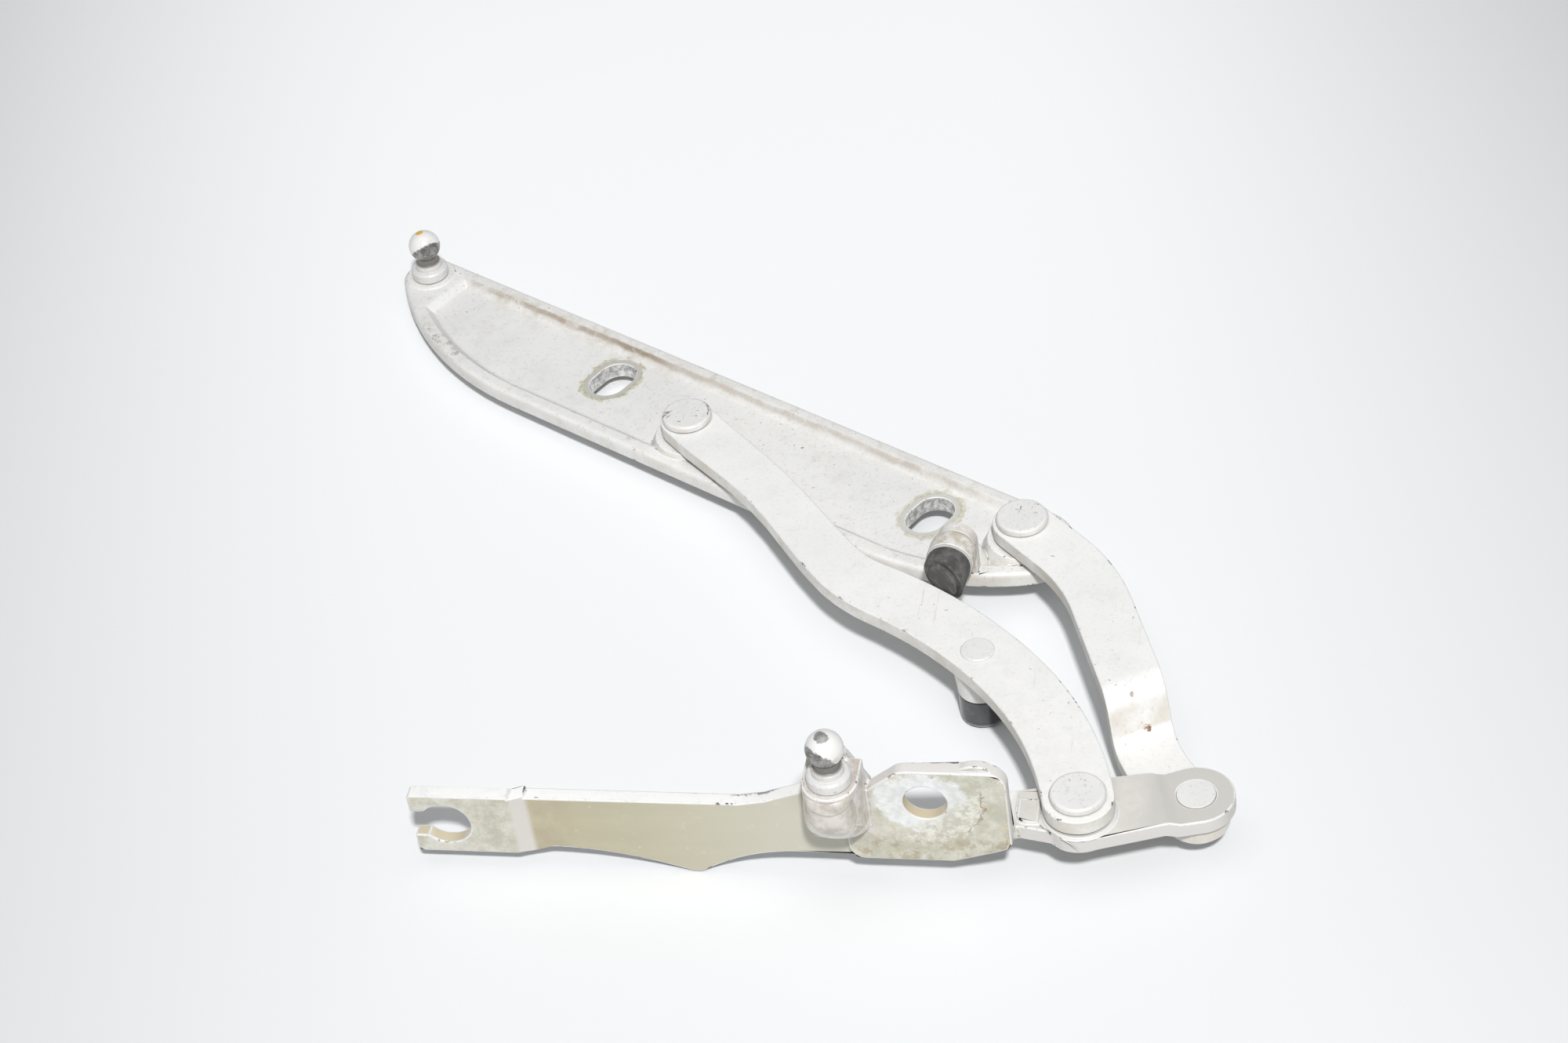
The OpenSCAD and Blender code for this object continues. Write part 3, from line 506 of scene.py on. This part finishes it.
def rim_line(g, colour, u, v):
    """A brown line along the foot of the plate's far rim, with a paler wash round it."""
    off = g.size(g.less(g.ragged(v, 5 * MM, 1.6 * MM, seed=37, rough=0.65), RIM_FOOT))
    along = g.times(g.fade(u, *LINE_LEFT_END), g.fade(u, *LINE_RIGHT_END))
    left = g.fade(u, *LINE_HEAVIER)
    wash = g.patches(3 * MM, 0.38, 0.7, detail=7, rough=0.75, seed=42)
    wash_share = g.between(left, 0.35, 0.6)
    colour = g.over(colour, BROWN_FILM, g.fade(off, *WASH_REACH), along, wash, share=wash_share)
    broken = g.patches(8 * MM, 0.28, 0.58, detail=5, rough=0.7, seed=41)
    worst = g.fade(g.size(g.less(u, LINE_WORST)), *LINE_WORST_REACH)
    strength = g.most(g.times(broken, g.between(left, 0.45, 0.8)), worst)
    grit = g.patches(1.6 * MM, 0.24, 0.46, detail=6, rough=0.75, seed=38)
    line = g.fade(off, *LINE_REACH)
    return g.over(colour, DIRT, line, along, strength, grit, share=0.85)


def crown_wear(g, colour, u, v):
    """Smudges, rubbed paint and one chip on the crown of the plate's rim."""
    level = g.dot(Z)
    crown = g.times(g.fade(level, *CROWN_BELOW), g.fade(level, *CROWN_ABOVE))
    smudge = g.patches(2.4 * MM, 0.52, 0.70, detail=7, rough=0.75, seed=44)
    colour = g.over(colour, BROWN_FILM, crown, smudge, share=0.55)
    rubbed = g.patches(1.4 * MM, 0.47, 0.60, detail=7, rough=0.75, seed=45)
    colour = g.over(colour, DIRT, g.fade(u, *RUBBED_U), g.fade(v, *RUBBED_V), rubbed, crown, share=0.7)
    chip = g.ragged(g.distance(RIM_CHIP), 1 * MM, 5 * MM, seed=46)
    return g.over(colour, CHIP, g.fade(chip, *RIM_CHIP_REACH), crown, share=0.8)


def buffer_dirt(g, colour):
    """Brown film and dark specks round the rubber buffer."""
    near = g.fade(g.distance(middle("stop_buffer")), *BUFFER_DIRT_REACH)
    damp = g.times(near, g.patches(1.8 * MM, 0.34, 0.60, detail=6, rough=0.7, seed=48))
    colour = g.over(colour, BROWN_FILM, damp, share=0.9)
    speck = g.patches(0.8 * MM, 0.60, 0.66, rough=0.6, seed=50)
    return g.over(colour, DIRT, speck, damp, share=0.8)


def slot_gap(g, centre):
    """Distance outwards from the wall of a slot that lies across the lid plate."""
    across = g.less(g.size(g.dot(LID_V, centre)), SLOT_STRAIGHT)
    return g.less(g.length2(g.dot(LID_U, centre), g.most(across, 0)), SLOT_HALF_W)


def slot_marks(g, colour, gap, strength):
    """What a clamped washer left round a slot: a smooth grey band, and a broken olive crust outside it."""
    band = g.fade(g.ragged(gap, 3 * MM, 1.4 * MM, seed=43), *WASHER_BAND)
    colour = g.over(colour, WASHER_GREY, band, share=0.9 * strength)
    crust = g.fade(g.ragged(gap, 1.7 * MM, 5 * MM, seed=46), *CRUST_OUTER)
    outside = g.fade(gap, *CRUST_INNER)
    broken = g.patches(2.4 * MM, 0.40, 0.55, detail=5, rough=0.7, seed=49)
    tone = g.mottled(CRUST, 0.9 * MM, 0.38, 0.62, detail=6, rough=0.75, seed=47)
    return g.over(colour, tone, crust, outside, broken, share=0.85 * strength)


def plate_paint(name):
    """The lid plate: grime along its far rim, and washer marks and bare walls at its slots."""
    g = Graph(name)
    u = g.dot(LID_U, pivot["lid_turn"])
    v = g.dot(LID_V, pivot["lid_turn"])
    colour = painted(g, scaled(WHITE, 0.97), soil=1.1, specks=1.4)
    colour = rim_line(g, colour, u, v)
    colour = crown_wear(g, colour, u, v)
    colour = buffer_dirt(g, colour)
    colour = side_film(g, colour, 0.4, start=0.3)
    walls = []
    for side, strength in ((-0.5, 1.0), (0.5, 0.7)):
        gap = slot_gap(g, mount["lid_slots"] + side * SLOT_PITCH * LID_U)
        colour = slot_marks(g, colour, gap, strength)
        walls.append(g.fade(gap, *SLOT_WALL_GAP))
    wall = g.most(*walls)
    bare = g.mottled(SLOT_WALL, 0.9 * MM, 0.40, 0.60, detail=5, rough=0.7, seed=53)
    paint_bump(g)
    roughness = g.between(wall, 0.42, 0.35)
    return g.finish(g.mix(wall, colour, bare), roughness, metallic=g.times(wall, 0.3))


def pad_crack(g, colour, around, x, z):
    """A broken dark crack in the sealer, to the right of the fixing hole."""
    ridge = g.size(g.less(g.ragged(around, 1.6 * MM, 8 * MM, seed=76), CRACK_R))
    reach = g.times(g.fade(x, *CRACK_RIGHT), g.fade(z, *CRACK_LOW), g.fade(z, *CRACK_HIGH))
    broken = g.patches(1.8 * MM, 0.40, 0.52, detail=4, rough=0.6, seed=78)
    return g.over(colour, DIRT, g.fade(ridge, *CRACK_WIDTH), reach, broken, share=0.75)


def clamped_pad(g, x, z):
    """The front of the fixing pad: a pale ragged ring round the hole, grainy sealer, a crack and grime."""
    around = g.length2(x, g.times(z, RING_FLATNESS))
    colour = g.mottled(PAD, 3.5 * MM, 0.38, 0.64, detail=7, rough=0.72, seed=67)
    chalk = g.mottled(CHALK, 1.5 * MM, 0.35, 0.65, detail=5, rough=0.7, seed=74)
    ring = g.fade(g.ragged(around, 4.5 * MM, 15 * MM, seed=73), *CHALK_REACH)
    colour = g.over(colour, chalk, ring, share=0.92)
    sealer = g.mottled(SEALER, 1.2 * MM, 0.42, 0.60, detail=6, rough=0.75, seed=68)
    low_right = g.fade(g.dot(LOW_RIGHT), *SEALER_FROM)
    grainy = g.fade(g.ragged(around, 3 * MM, 9 * MM, seed=69), *SEALER_REACH)
    colour = g.over(colour, sealer, low_right, grainy, share=0.85)
    yellow = g.patches(2.6 * MM, 0.56, 0.68, detail=6, rough=0.75, seed=71)
    colour = g.over(colour, OCHRE, yellow, g.fade(around, *YELLOW_FROM), share=0.5)
    colour = pad_crack(g, colour, around, x, z)
    grime = g.patches(1.6 * MM, 0.47, 0.60, detail=7, rough=0.75, seed=79)
    return g.over(colour, PAD_GRIME, g.fade(z, *LOW_EDGE), grime, share=0.7)


def strip_film(g, x):
    """Olive film on the front of the strip: streaked, paler to the right and brown at the fork's bend, with a pale
    band of painted highlight along the bend.
    """
    tones = (scaled(OLIVE, 0.94), scaled(OLIVE, 1.08))
    film = g.mottled(tones, 7 * MM, 0.3, 0.7, detail=5, rough=0.65, seed=61, stretch=(0.25, 1, 1))
    film = g.mix(g.fade(x, *FILM_PALE_FROM), film, PALE_OLIVE)
    fleck = g.patches(1.6 * MM, 0.62, 0.70, detail=4, rough=0.6, seed=62)
    film = g.over(film, scaled(PALE_OLIVE, 1.25), fleck, share=0.35)
    corner = g.patches(5 * MM, 0.4, 0.65, detail=5, rough=0.7, seed=63)
    film = g.over(film, FILM_BROWN, g.fade(x, *FILM_BROWN_FROM), corner, share=0.7)
    # painted highlight: a pale pinkish band along the bend between fork and strip
    bend_highlight = g.fade(g.size(g.less(x, FORK_BEND)), *BEND_HIGHLIGHT_REACH)
    return g.over(film, PINK_GREY, bend_highlight, share=0.85)


def soiled_front(g, x, z):
    """The bracket's front: olive film on the strip, mottled clamped ends and a plain tongue."""
    fork = g.mottled(FORK, 4 * MM, 0.38, 0.62, detail=6, rough=0.7, seed=64)
    yellow = g.patches(2.6 * MM, 0.56, 0.68, detail=6, rough=0.75, seed=65)
    fork = g.over(fork, scaled(OCHRE, 1.15), yellow, share=0.6)
    colour = g.mix(g.fade(x, *FORK_FROM), strip_film(g, x), fork)
    seam = g.ragged(x, 3 * MM, 3 * MM, seed=66)
    colour = g.mix(g.fade(seam, *PAD_SEAM), colour, clamped_pad(g, x, z))
    return g.mix(g.fade(x, *TONGUE_SEAM), colour, scaled(PINK_GREY, 0.95))


def bracket_top(g, colour, x, z, upper):
    """The bracket but for its front: greyed tongue and pad, a painted highlight on the strip's top and a torn far
    edge.
    """
    dull = g.mottled((TONGUE, scaled(TONGUE, 1.1)), 2.5 * MM, 0.35, 0.65, detail=7, rough=0.75, seed=84)
    dull = g.mix(g.fade(x, *EAR_FROM), dull, scaled(TONGUE, 0.92))
    colour = g.over(colour, dull, g.fade(x, *TONGUE_FROM), share=0.9)
    crest = g.times(g.fade(x, *PAD_LEFT), g.fade(x, *PAD_RIGHT), g.fade(z, *CREST_FROM))
    colour = g.over(colour, PINK_GREY, crest, share=0.8)
    # painted highlight: the strip's upward faces are made whiter in patches
    top_highlight = g.patches(5 * MM, 0.25, 0.5, detail=5, rough=0.7, seed=88)
    colour = g.over(colour, scaled(WHITE, 1.1), upper, g.fade(x, *STRIP_TOP_HIGHLIGHT), top_highlight, share=0.7)
    edge = g.ragged(g.size(g.dot(Y, FAR_EDGE * Y)), 0.9 * MM, 3.4 * MM, seed=85)
    torn = g.times(g.fade(edge, *TORN_REACH), upper)
    return g.over(colour, CHIP, torn, g.fade(x, *TORN_LEFT), g.fade(x, *TORN_RIGHT), share=0.75)


def column_mask(g, z):
    """1 on the column under the body's ball stud."""
    stud = mount["body_ball"]
    around = g.length2(g.dot(X, stud), g.times(g.dot(Y, stud), COLUMN_DEPTH))
    ahead = g.fade(g.dot(Y), *COLUMN_BEHIND)
    return g.times(g.fade(around, *COLUMN_REACH), g.fade(z, *COLUMN_FOOT), ahead)


def bracket_bump(g, x, front, column):
    """Orange peel, lumps on the column and coarse sealer on the pad's front."""
    lumps = g.times(g.noise(3 * MM, rough=0.5, seed=86), column, 8)
    pad = g.times(front, g.fade(x, *PAD_COARSE), g.fade(x, *PAD_RIGHT), 4.0)
    coarse = g.times(g.noise(1.4 * MM, detail=6, rough=0.7, seed=87), pad)
    g.bump(g.plus(orange_peel(g), lumps, coarse), depth=0.04 * MM)


def bracket_paint(name):
    """The bracket: white with a painted highlight on the strip's top, greyed on the tongue, with a soiled, worn
    front.
    """
    g = Graph(name)
    x = g.dot(X)
    z = g.dot(Z)
    upper = g.facing(Z)
    front = g.facing(-Y)
    colour = bracket_top(g, painted(g, WHITE, soil=1.2, specks=1.3), x, z, upper)
    colour = g.mix(front, colour, soiled_front(g, x, z))
    bore = g.times(g.fade(g.length2(x, z), *BORE_WALL), g.less(1.0, front))
    slot = g.times(g.fade(x, *FORK_SLOT), g.fade(z, *LOW_EDGE), upper)
    colour = g.over(colour, HOLE_YELLOW, g.most(bore, slot), share=0.85)
    # the column under the ball stud is brown and shiny
    column = column_mask(g, z)
    brown = g.mottled(COLUMN, 2.4 * MM, 0.36, 0.62, detail=6, rough=0.7, seed=83)
    colour = g.over(colour, brown, column, share=0.85)
    bracket_bump(g, x, front, column)
    return g.finish(colour, roughness=g.between(column, g.between(front, 0.34, 0.45), 0.22))


def ball_metal(name, ball, bare_side, bare_from, rubbed=(), dab=None):
    """A ball whose white paint is worn off one side, on a dark neck and a painted collar."""
    g = Graph(name)
    height = g.dot(Z, ball)
    bare = g.ragged(g.dot(bare_side, ball), 1.3 * MM, 2.6 * MM, seed=97)
    bare = g.fade(bare, bare_from, bare_from + BARE_EDGE)
    for place, size in rubbed:
        edge = g.ragged(g.distance(ball + place), 1.5 * MM, 4.5 * MM, seed=98)
        bare = g.most(bare, g.times(g.fade(edge, size, 0.8 * size), 0.7))
    steel = g.mottled(STEEL, 0.8 * MM, 0.38, 0.62, detail=6, rough=0.75, seed=100)
    stain = g.patches(2.2 * MM, 0.56, 0.68, detail=5, rough=0.7, seed=102)
    paint = g.over(scaled(WHITE, 0.94), BROWN_FILM, stain, share=0.5)
    collar = painted(g, scaled(WHITE, 0.86), soil=1.5, specks=1.3)
    neck = g.fade(height, *COLLAR_FROM)
    colour = g.mix(neck, g.mix(bare, paint, steel), collar)
    under = g.times(g.fade(height, *NECK_LOW), g.fade(height, *NECK_HIGH))
    colour = g.over(colour, NECK_DARK, under, share=0.85)
    if dab is not None:
        edge = g.ragged(g.distance(ball + dab), 0.8 * MM, 0.8 * MM, seed=99)
        colour = g.mix(g.fade(edge, *DAB_REACH), colour, DAB_ORANGE)
    g.bump(g.noise(0.6 * MM, rough=0.6, seed=101), depth=0.02 * MM)
    roughness = g.between(neck, g.between(bare, 0.22, 0.34), 0.36)
    return g.finish(colour, roughness, metallic=g.times(bare, g.less(1.0, neck), 0.7))


def pin_paint(name, centre=None, strokes=()):
    """Painted pin heads, with scratches round a head's centre that show dark metal."""
    g = Graph(name)
    colour, chip = chipped(g, painted(g, scaled(WHITE, 0.93), specks=1.4), 0.3)
    for x0, y0, x1, y1, width_mm in strokes:
        width = width_mm * MM
        line = g.segment(centre + Vector((x0, y0, 0)) * MM, centre + Vector((x1, y1, 0)) * MM)
        mark = g.fade(g.ragged(line, 0.7 * MM, 2.4 * width, seed=103), width, 0.5 * width)
        broken = g.patches(0.7 * MM, 0.38, 0.52, detail=4, rough=0.7, seed=104)
        colour = g.over(colour, CHIP, mark, broken, share=0.75)
    colour = side_film(g, colour, 0.5, size=4 * MM)
    paint_bump(g, chip)
    return g.finish(colour, roughness=0.36)


def bush_bronze(name):
    """Dull bronze."""
    g = Graph(name)
    tone = g.patches(1.5 * MM, 0.35, 0.65, detail=4, seed=109)
    return g.finish(g.mix(tone, *BRONZE), roughness=g.between(tone, 0.5, 0.35), metallic=0.9)


def sleeve_black(name):
    """A shiny black sleeve with a grey ring at its lower end."""
    g = Graph(name)
    dust = g.patches(1.5 * MM, 0.5, 0.75, detail=5, rough=0.7, seed=113)
    colour = g.over(SLEEVE_BLACK, SLEEVE_DUST, dust, share=0.35)
    lower_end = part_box("stop_sleeve")[0]
    colour = g.mix(g.fade(g.dot(Z, lower_end), *SLEEVE_RING_TOP), colour, SLEEVE_RING)
    g.bump(g.noise(0.9 * MM, seed=127), depth=0.015 * MM)
    return g.finish(colour, roughness=g.between(dust, 0.18, 0.34), metallic=0.5)


def buffer_rubber(name):
    """Dusty black rubber with a few pale specks."""
    g = Graph(name)
    dust = g.patches(2.0 * MM, 0.42, 0.7, detail=6, rough=0.7, seed=131)
    speck = g.patches(0.5 * MM, 0.72, 0.77, detail=2, seed=137)
    colour = g.over(g.mix(dust, *RUBBER), RUBBER_SPECK, speck, share=0.6)
    g.bump(g.noise(0.7 * MM, detail=4, rough=0.6, seed=139), depth=0.06 * MM)
    return g.finish(colour, roughness=g.between(dust, 0.6, 0.8))


def soften(node, width, finish, edge=None, merge=True, weld_gap=WELD_GAP):
    """Gives a CAD node its finish, and rounds its sharp edges with modifiers that leave its mesh alone."""
    obj = nodes[node]
    obj.data.materials.clear()
    obj.data.materials.append(finish)
    weld = obj.modifiers.new("weld", "WELD")
    weld.merge_threshold = weld_gap
    if merge:
        flat = obj.modifiers.new("flat", "DECIMATE")
        flat.decimate_type = "DISSOLVE"
        flat.angle_limit = FLAT_ANGLE
    if width:
        bevel = obj.modifiers.new("round", "BEVEL")
        bevel.width = width
        bevel.segments = ROUND_SEGMENTS
        bevel.limit_method = "ANGLE"
        bevel.angle_limit = SHARP_ANGLE
        bevel.use_clamp_overlap = False
        if edge:
            obj.data.materials.append(edge)
            bevel.material = 1
    even = obj.modifiers.new("even", "WEIGHTED_NORMAL")
    even.keep_sharp = False


def dress_sheet_metal():
    """Finish of the links, the lid plate and the bracket."""
    edge = edge_paint("edge_paint")
    near_car = pivot["lid_open"]
    soften("long_link", LINK_ROUND, link_paint("link_paint", near_car), edge)
    short_paint = link_paint("short_link_paint", near_car - SHORT_DULL_OFFSET * AWAY, RUST_SPOTS)
    soften("short_link", LINK_ROUND, short_paint, edge)
    soften("lid_plate", PLATE_ROUND, plate_paint("plate_paint"), edge)
    bracket_edge = edge_paint("bracket_edge", scaled(WHITE, 0.95), 1.1)
    # merging flat faces would tear the bracket
    soften("body_bracket", BRACKET_ROUND, bracket_paint("bracket_paint"), bracket_edge,
           merge=False, weld_gap=BRACKET_WELD_GAP)


def dress_pivots():
    """Finish of the pins and the bushes."""
    pins = pin_paint("pin_paint")
    for node in ("body_long_pin", "body_short_pin", "stop_pin"):
        soften(node, PIN_ROUND, pins)
    long_pin = pin_paint("long_pin_paint", middle("lid_long_pin"), LONG_PIN_MARKS)
    soften("lid_long_pin", PIN_ROUND, long_pin)
    short_pin = pin_paint("short_pin_paint", middle("lid_short_pin"), SHORT_PIN_MARKS)
    soften("lid_short_pin", PIN_ROUND, short_pin)
    bronze = bush_bronze("bush_bronze")
    for node in ("body_long_bush", "lid_long_bush", "body_short_bush", "lid_short_bush"):
        soften(node, 0, bronze, merge=False)


def dress_studs_and_stop():
    """Finish of the ball studs, the stop sleeve and the buffer."""
    body_ball = ball_metal("body_ball", mount["body_ball"], BODY_BARE_SIDE, BODY_BARE_FROM, BODY_RUBS)
    soften("body_ball_stud", STUD_ROUND, body_ball)
    lid_ball = ball_metal("lid_ball", mount["lid_ball"], LID_BARE_SIDE, LID_BARE_FROM, dab=LID_DAB)
    soften("lid_ball_stud", STUD_ROUND, lid_ball)
    soften("stop_sleeve", PIN_ROUND, sleeve_black("sleeve_black"))
    soften("stop_buffer", PIN_ROUND, buffer_rubber("buffer_rubber"))


def bead_glaze(name):
    """Thick shiny paint on the ball stud's column, brown with painted shade in its hollows, painted shade along a
    fold and pale along its lower lip.
    """
    g = Graph(name)
    height = g.dot(Z)
    colour = g.mottled(GLAZE, 2.8 * MM, 0.36, 0.62, detail=6, rough=0.7, seed=83)
    lip = g.patches(3 * MM, 0.3, 0.55, detail=4, rough=0.6, seed=89)
    colour = g.over(colour, WHITE, g.fade(height, *LIP_FROM), lip, share=0.8)
    # painted shade: a dark grey line along a fold in the bead, where the fold's shade falls
    rise = g.times(g.length2(g.dot(X, mount["body_ball"]), FOLD_ROUND), FOLD_SLOPE)
    fold_shade = g.size(g.less(g.less(height, rise), FOLD_HEIGHT))
    fold_shade = g.fade(g.ragged(fold_shade, 1.2 * MM, 0.5 * MM, seed=90), *FOLD_SHADE_REACH)
    colour = g.over(colour, GREY_DIRT, fold_shade, share=0.65)
    # brown film and painted shade in the bead's hollows, from the corner search
    colour = g.over(colour, BROWN_FILM, g.fade(g.crevice(4 * MM), 0.35, 0.9), share=0.5)
    g.bump(g.noise(2.2 * MM, detail=2, rough=0.4, seed=86), depth=0.5 * MM)
    return g.finish(colour, roughness=0.13)


def bead_section(height, left, right, front):
    """Points of one rounded, lumpy section of the bead, from its right end round the front to its left."""
    stud = mount["body_ball"]
    points = []
    for i in range(BEAD_STEPS + 1):
        turn = math.pi * i / BEAD_STEPS
        side = math.copysign(abs(math.cos(turn)) ** BEAD_SQUARENESS, math.cos(turn))
        out = math.sin(turn) ** BEAD_SQUARENESS
        reach = right if side > 0 else left
        spot = Vector((side * reach, BEAD_BACK - (front + BEAD_BACK) * out, height))
        lump = BEAD_LUMP * out * (0.5 + 0.5 * noise.noise(spot / BEAD_LUMP_SIZE))
        swell = 1 + lump / max(spot.xy.length, 1)
        points.append(Vector((stud.x + spot.x * swell * MM, stud.y + spot.y * swell * MM, height * MM)))
    return points


def bead_mesh():
    """A closed loft through the bead's sections."""
    points = [point for section in BEAD_SECTIONS for point in bead_section(*section)]
    row = BEAD_STEPS + 1
    last = len(points) - row
    faces = []
    for start in range(0, last, row):
        for i in range(row):
            after = (i + 1) % row
            faces.append((start + i, start + after, start + row + after, start + row + i))
    faces += [tuple(reversed(range(row))), tuple(range(last, last + row))]
    mesh = bpy.data.meshes.new("column_bead")
    mesh.from_pydata(points, [], faces)
    mesh.shade_smooth()
    return mesh


def column_bead():
    """The paint that lies thick on the column under the body's ball stud."""
    mesh = bead_mesh()
    mesh.materials.append(bead_glaze("bead_glaze"))
    obj = bpy.data.objects.new("column_bead", mesh)
    smooth = obj.modifiers.new("smooth", "SUBSURF")
    smooth.levels = BEAD_SMOOTHING
    smooth.render_levels = BEAD_SMOOTHING
    bpy.context.scene.collection.objects.link(obj)
    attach(obj, "body_side")


def camera():
    """The photograph's camera, looking at a point on the links' top faces."""
    back = math.sin(ELEVATION) * Z - math.cos(ELEVATION) * AWAY
    tilt = back.cross(LEVEL)
    right = math.cos(ROLL) * LEVEL + math.sin(ROLL) * tilt
    up = back.cross(right)
    data = bpy.data.cameras.new("camera")
    data.sensor_width = SENSOR_WIDTH
    data.lens = LENS
    obj = bpy.data.objects.new("camera", data)
    turn = Matrix((right, up, back)).transposed().to_4x4()
    obj.matrix_world = Matrix.Translation(AIM + CAMERA_DISTANCE * back) @ turn
    bpy.context.scene.collection.objects.link(obj)
    bpy.context.scene.camera = obj


def feet():
    """The points that the hinge lies on: the bracket's rib, the stop sleeve and a stud's rivet."""
    points = [Vector((RIB_POINT.x, RIB_POINT.y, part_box("body_bracket")[0].z))]
    for node in ("stop_sleeve", "lid_ball_stud"):
        centre = middle(node)
        points.append(Vector((centre.x, centre.y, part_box(node)[0].z)))
    return points


def floor_white(name, origin):
    """A pale matt floor with painted light, brighter far off, and painted shade to both sides, as under a single
    flash.
    """
    g = Graph(name)
    centre = AIM - origin
    # painted light and shade: the floor's colour is darker near and to both sides, brighter far off
    sideways = g.fade(g.size(g.dot(LEVEL, centre)), *FLOOR_SIDEWAYS)
    away = g.fade(g.dot(AWAY, centre), *FLOOR_AWAY)
    shade = g.mix(sideways, FLOOR_UNSHADED, g.mix(away, *FLOOR_PAINTED_SHADES))
    g.shader.inputs["Specular IOR Level"].default_value = FLOOR_SPECULAR
    return g.finish(g.mix(1.0, g.mix(away, *FLOOR_PAINTED_LIGHT), shade, blend="MULTIPLY"), roughness=0.8)


def floor():
    """A wide floor through the points that the hinge lies on."""
    a, b, c = feet()
    normal = (b - a).cross(c - a).normalized()
    normal = normal if normal.z > 0 else -normal
    mesh = bpy.data.meshes.new("floor")
    corners = [(sx * FLOOR_SIZE, sy * FLOOR_SIZE, 0) for sx, sy in ((-1, -1), (1, -1), (1, 1), (-1, 1))]
    mesh.from_pydata(corners, [], [(0, 1, 2, 3)])
    obj = bpy.data.objects.new("floor", mesh)
    obj.location = a - FLOOR_GAP * normal
    obj.rotation_mode = "QUATERNION"
    obj.rotation_quaternion = Z.rotation_difference(normal)
    bpy.context.scene.collection.objects.link(obj)
    mesh.materials.append(floor_white("floor_white", obj.location))


def lamp(name, azimuth, elevation, distance, size, power):
    """A square lamp aimed at the middle of the object; angles in degrees, distance and size in metres."""
    low, high = cad_box
    centre = (low + high) / 2
    a, e = math.radians(azimuth), math.radians(elevation)
    back = Vector((math.sin(a) * math.cos(e), -math.cos(a) * math.cos(e), math.sin(e)))
    data = bpy.data.lights.new(name, "AREA")
    data.size = size
    data.energy = power
    obj = bpy.data.objects.new(name, data)
    obj.location = centre + distance * back
    obj.rotation_mode = "QUATERNION"
    obj.rotation_quaternion = (-back).to_track_quat("-Z", "Y")
    bpy.context.scene.collection.objects.link(obj)


def light():
    """A flash near the camera, a broad soft lamp overhead and a little light from all round."""
    world = bpy.data.worlds.new("studio")
    world.use_nodes = True
    shade = world.node_tree.nodes["Background"]
    shade.inputs["Color"].default_value = SKY
    shade.inputs["Strength"].default_value = SKY_STRENGTH
    bpy.context.scene.world = world
    lamp("key", azimuth=20, elevation=51, distance=2.6, size=0.16, power=62)
    lamp("soft", azimuth=0, elevation=80, distance=1.1, size=1.0, power=3)
    bpy.context.scene.view_settings.view_transform = "Standard"


dress_sheet_metal()
dress_pivots()
dress_studs_and_stop()
column_bead()
camera()
floor()
light()
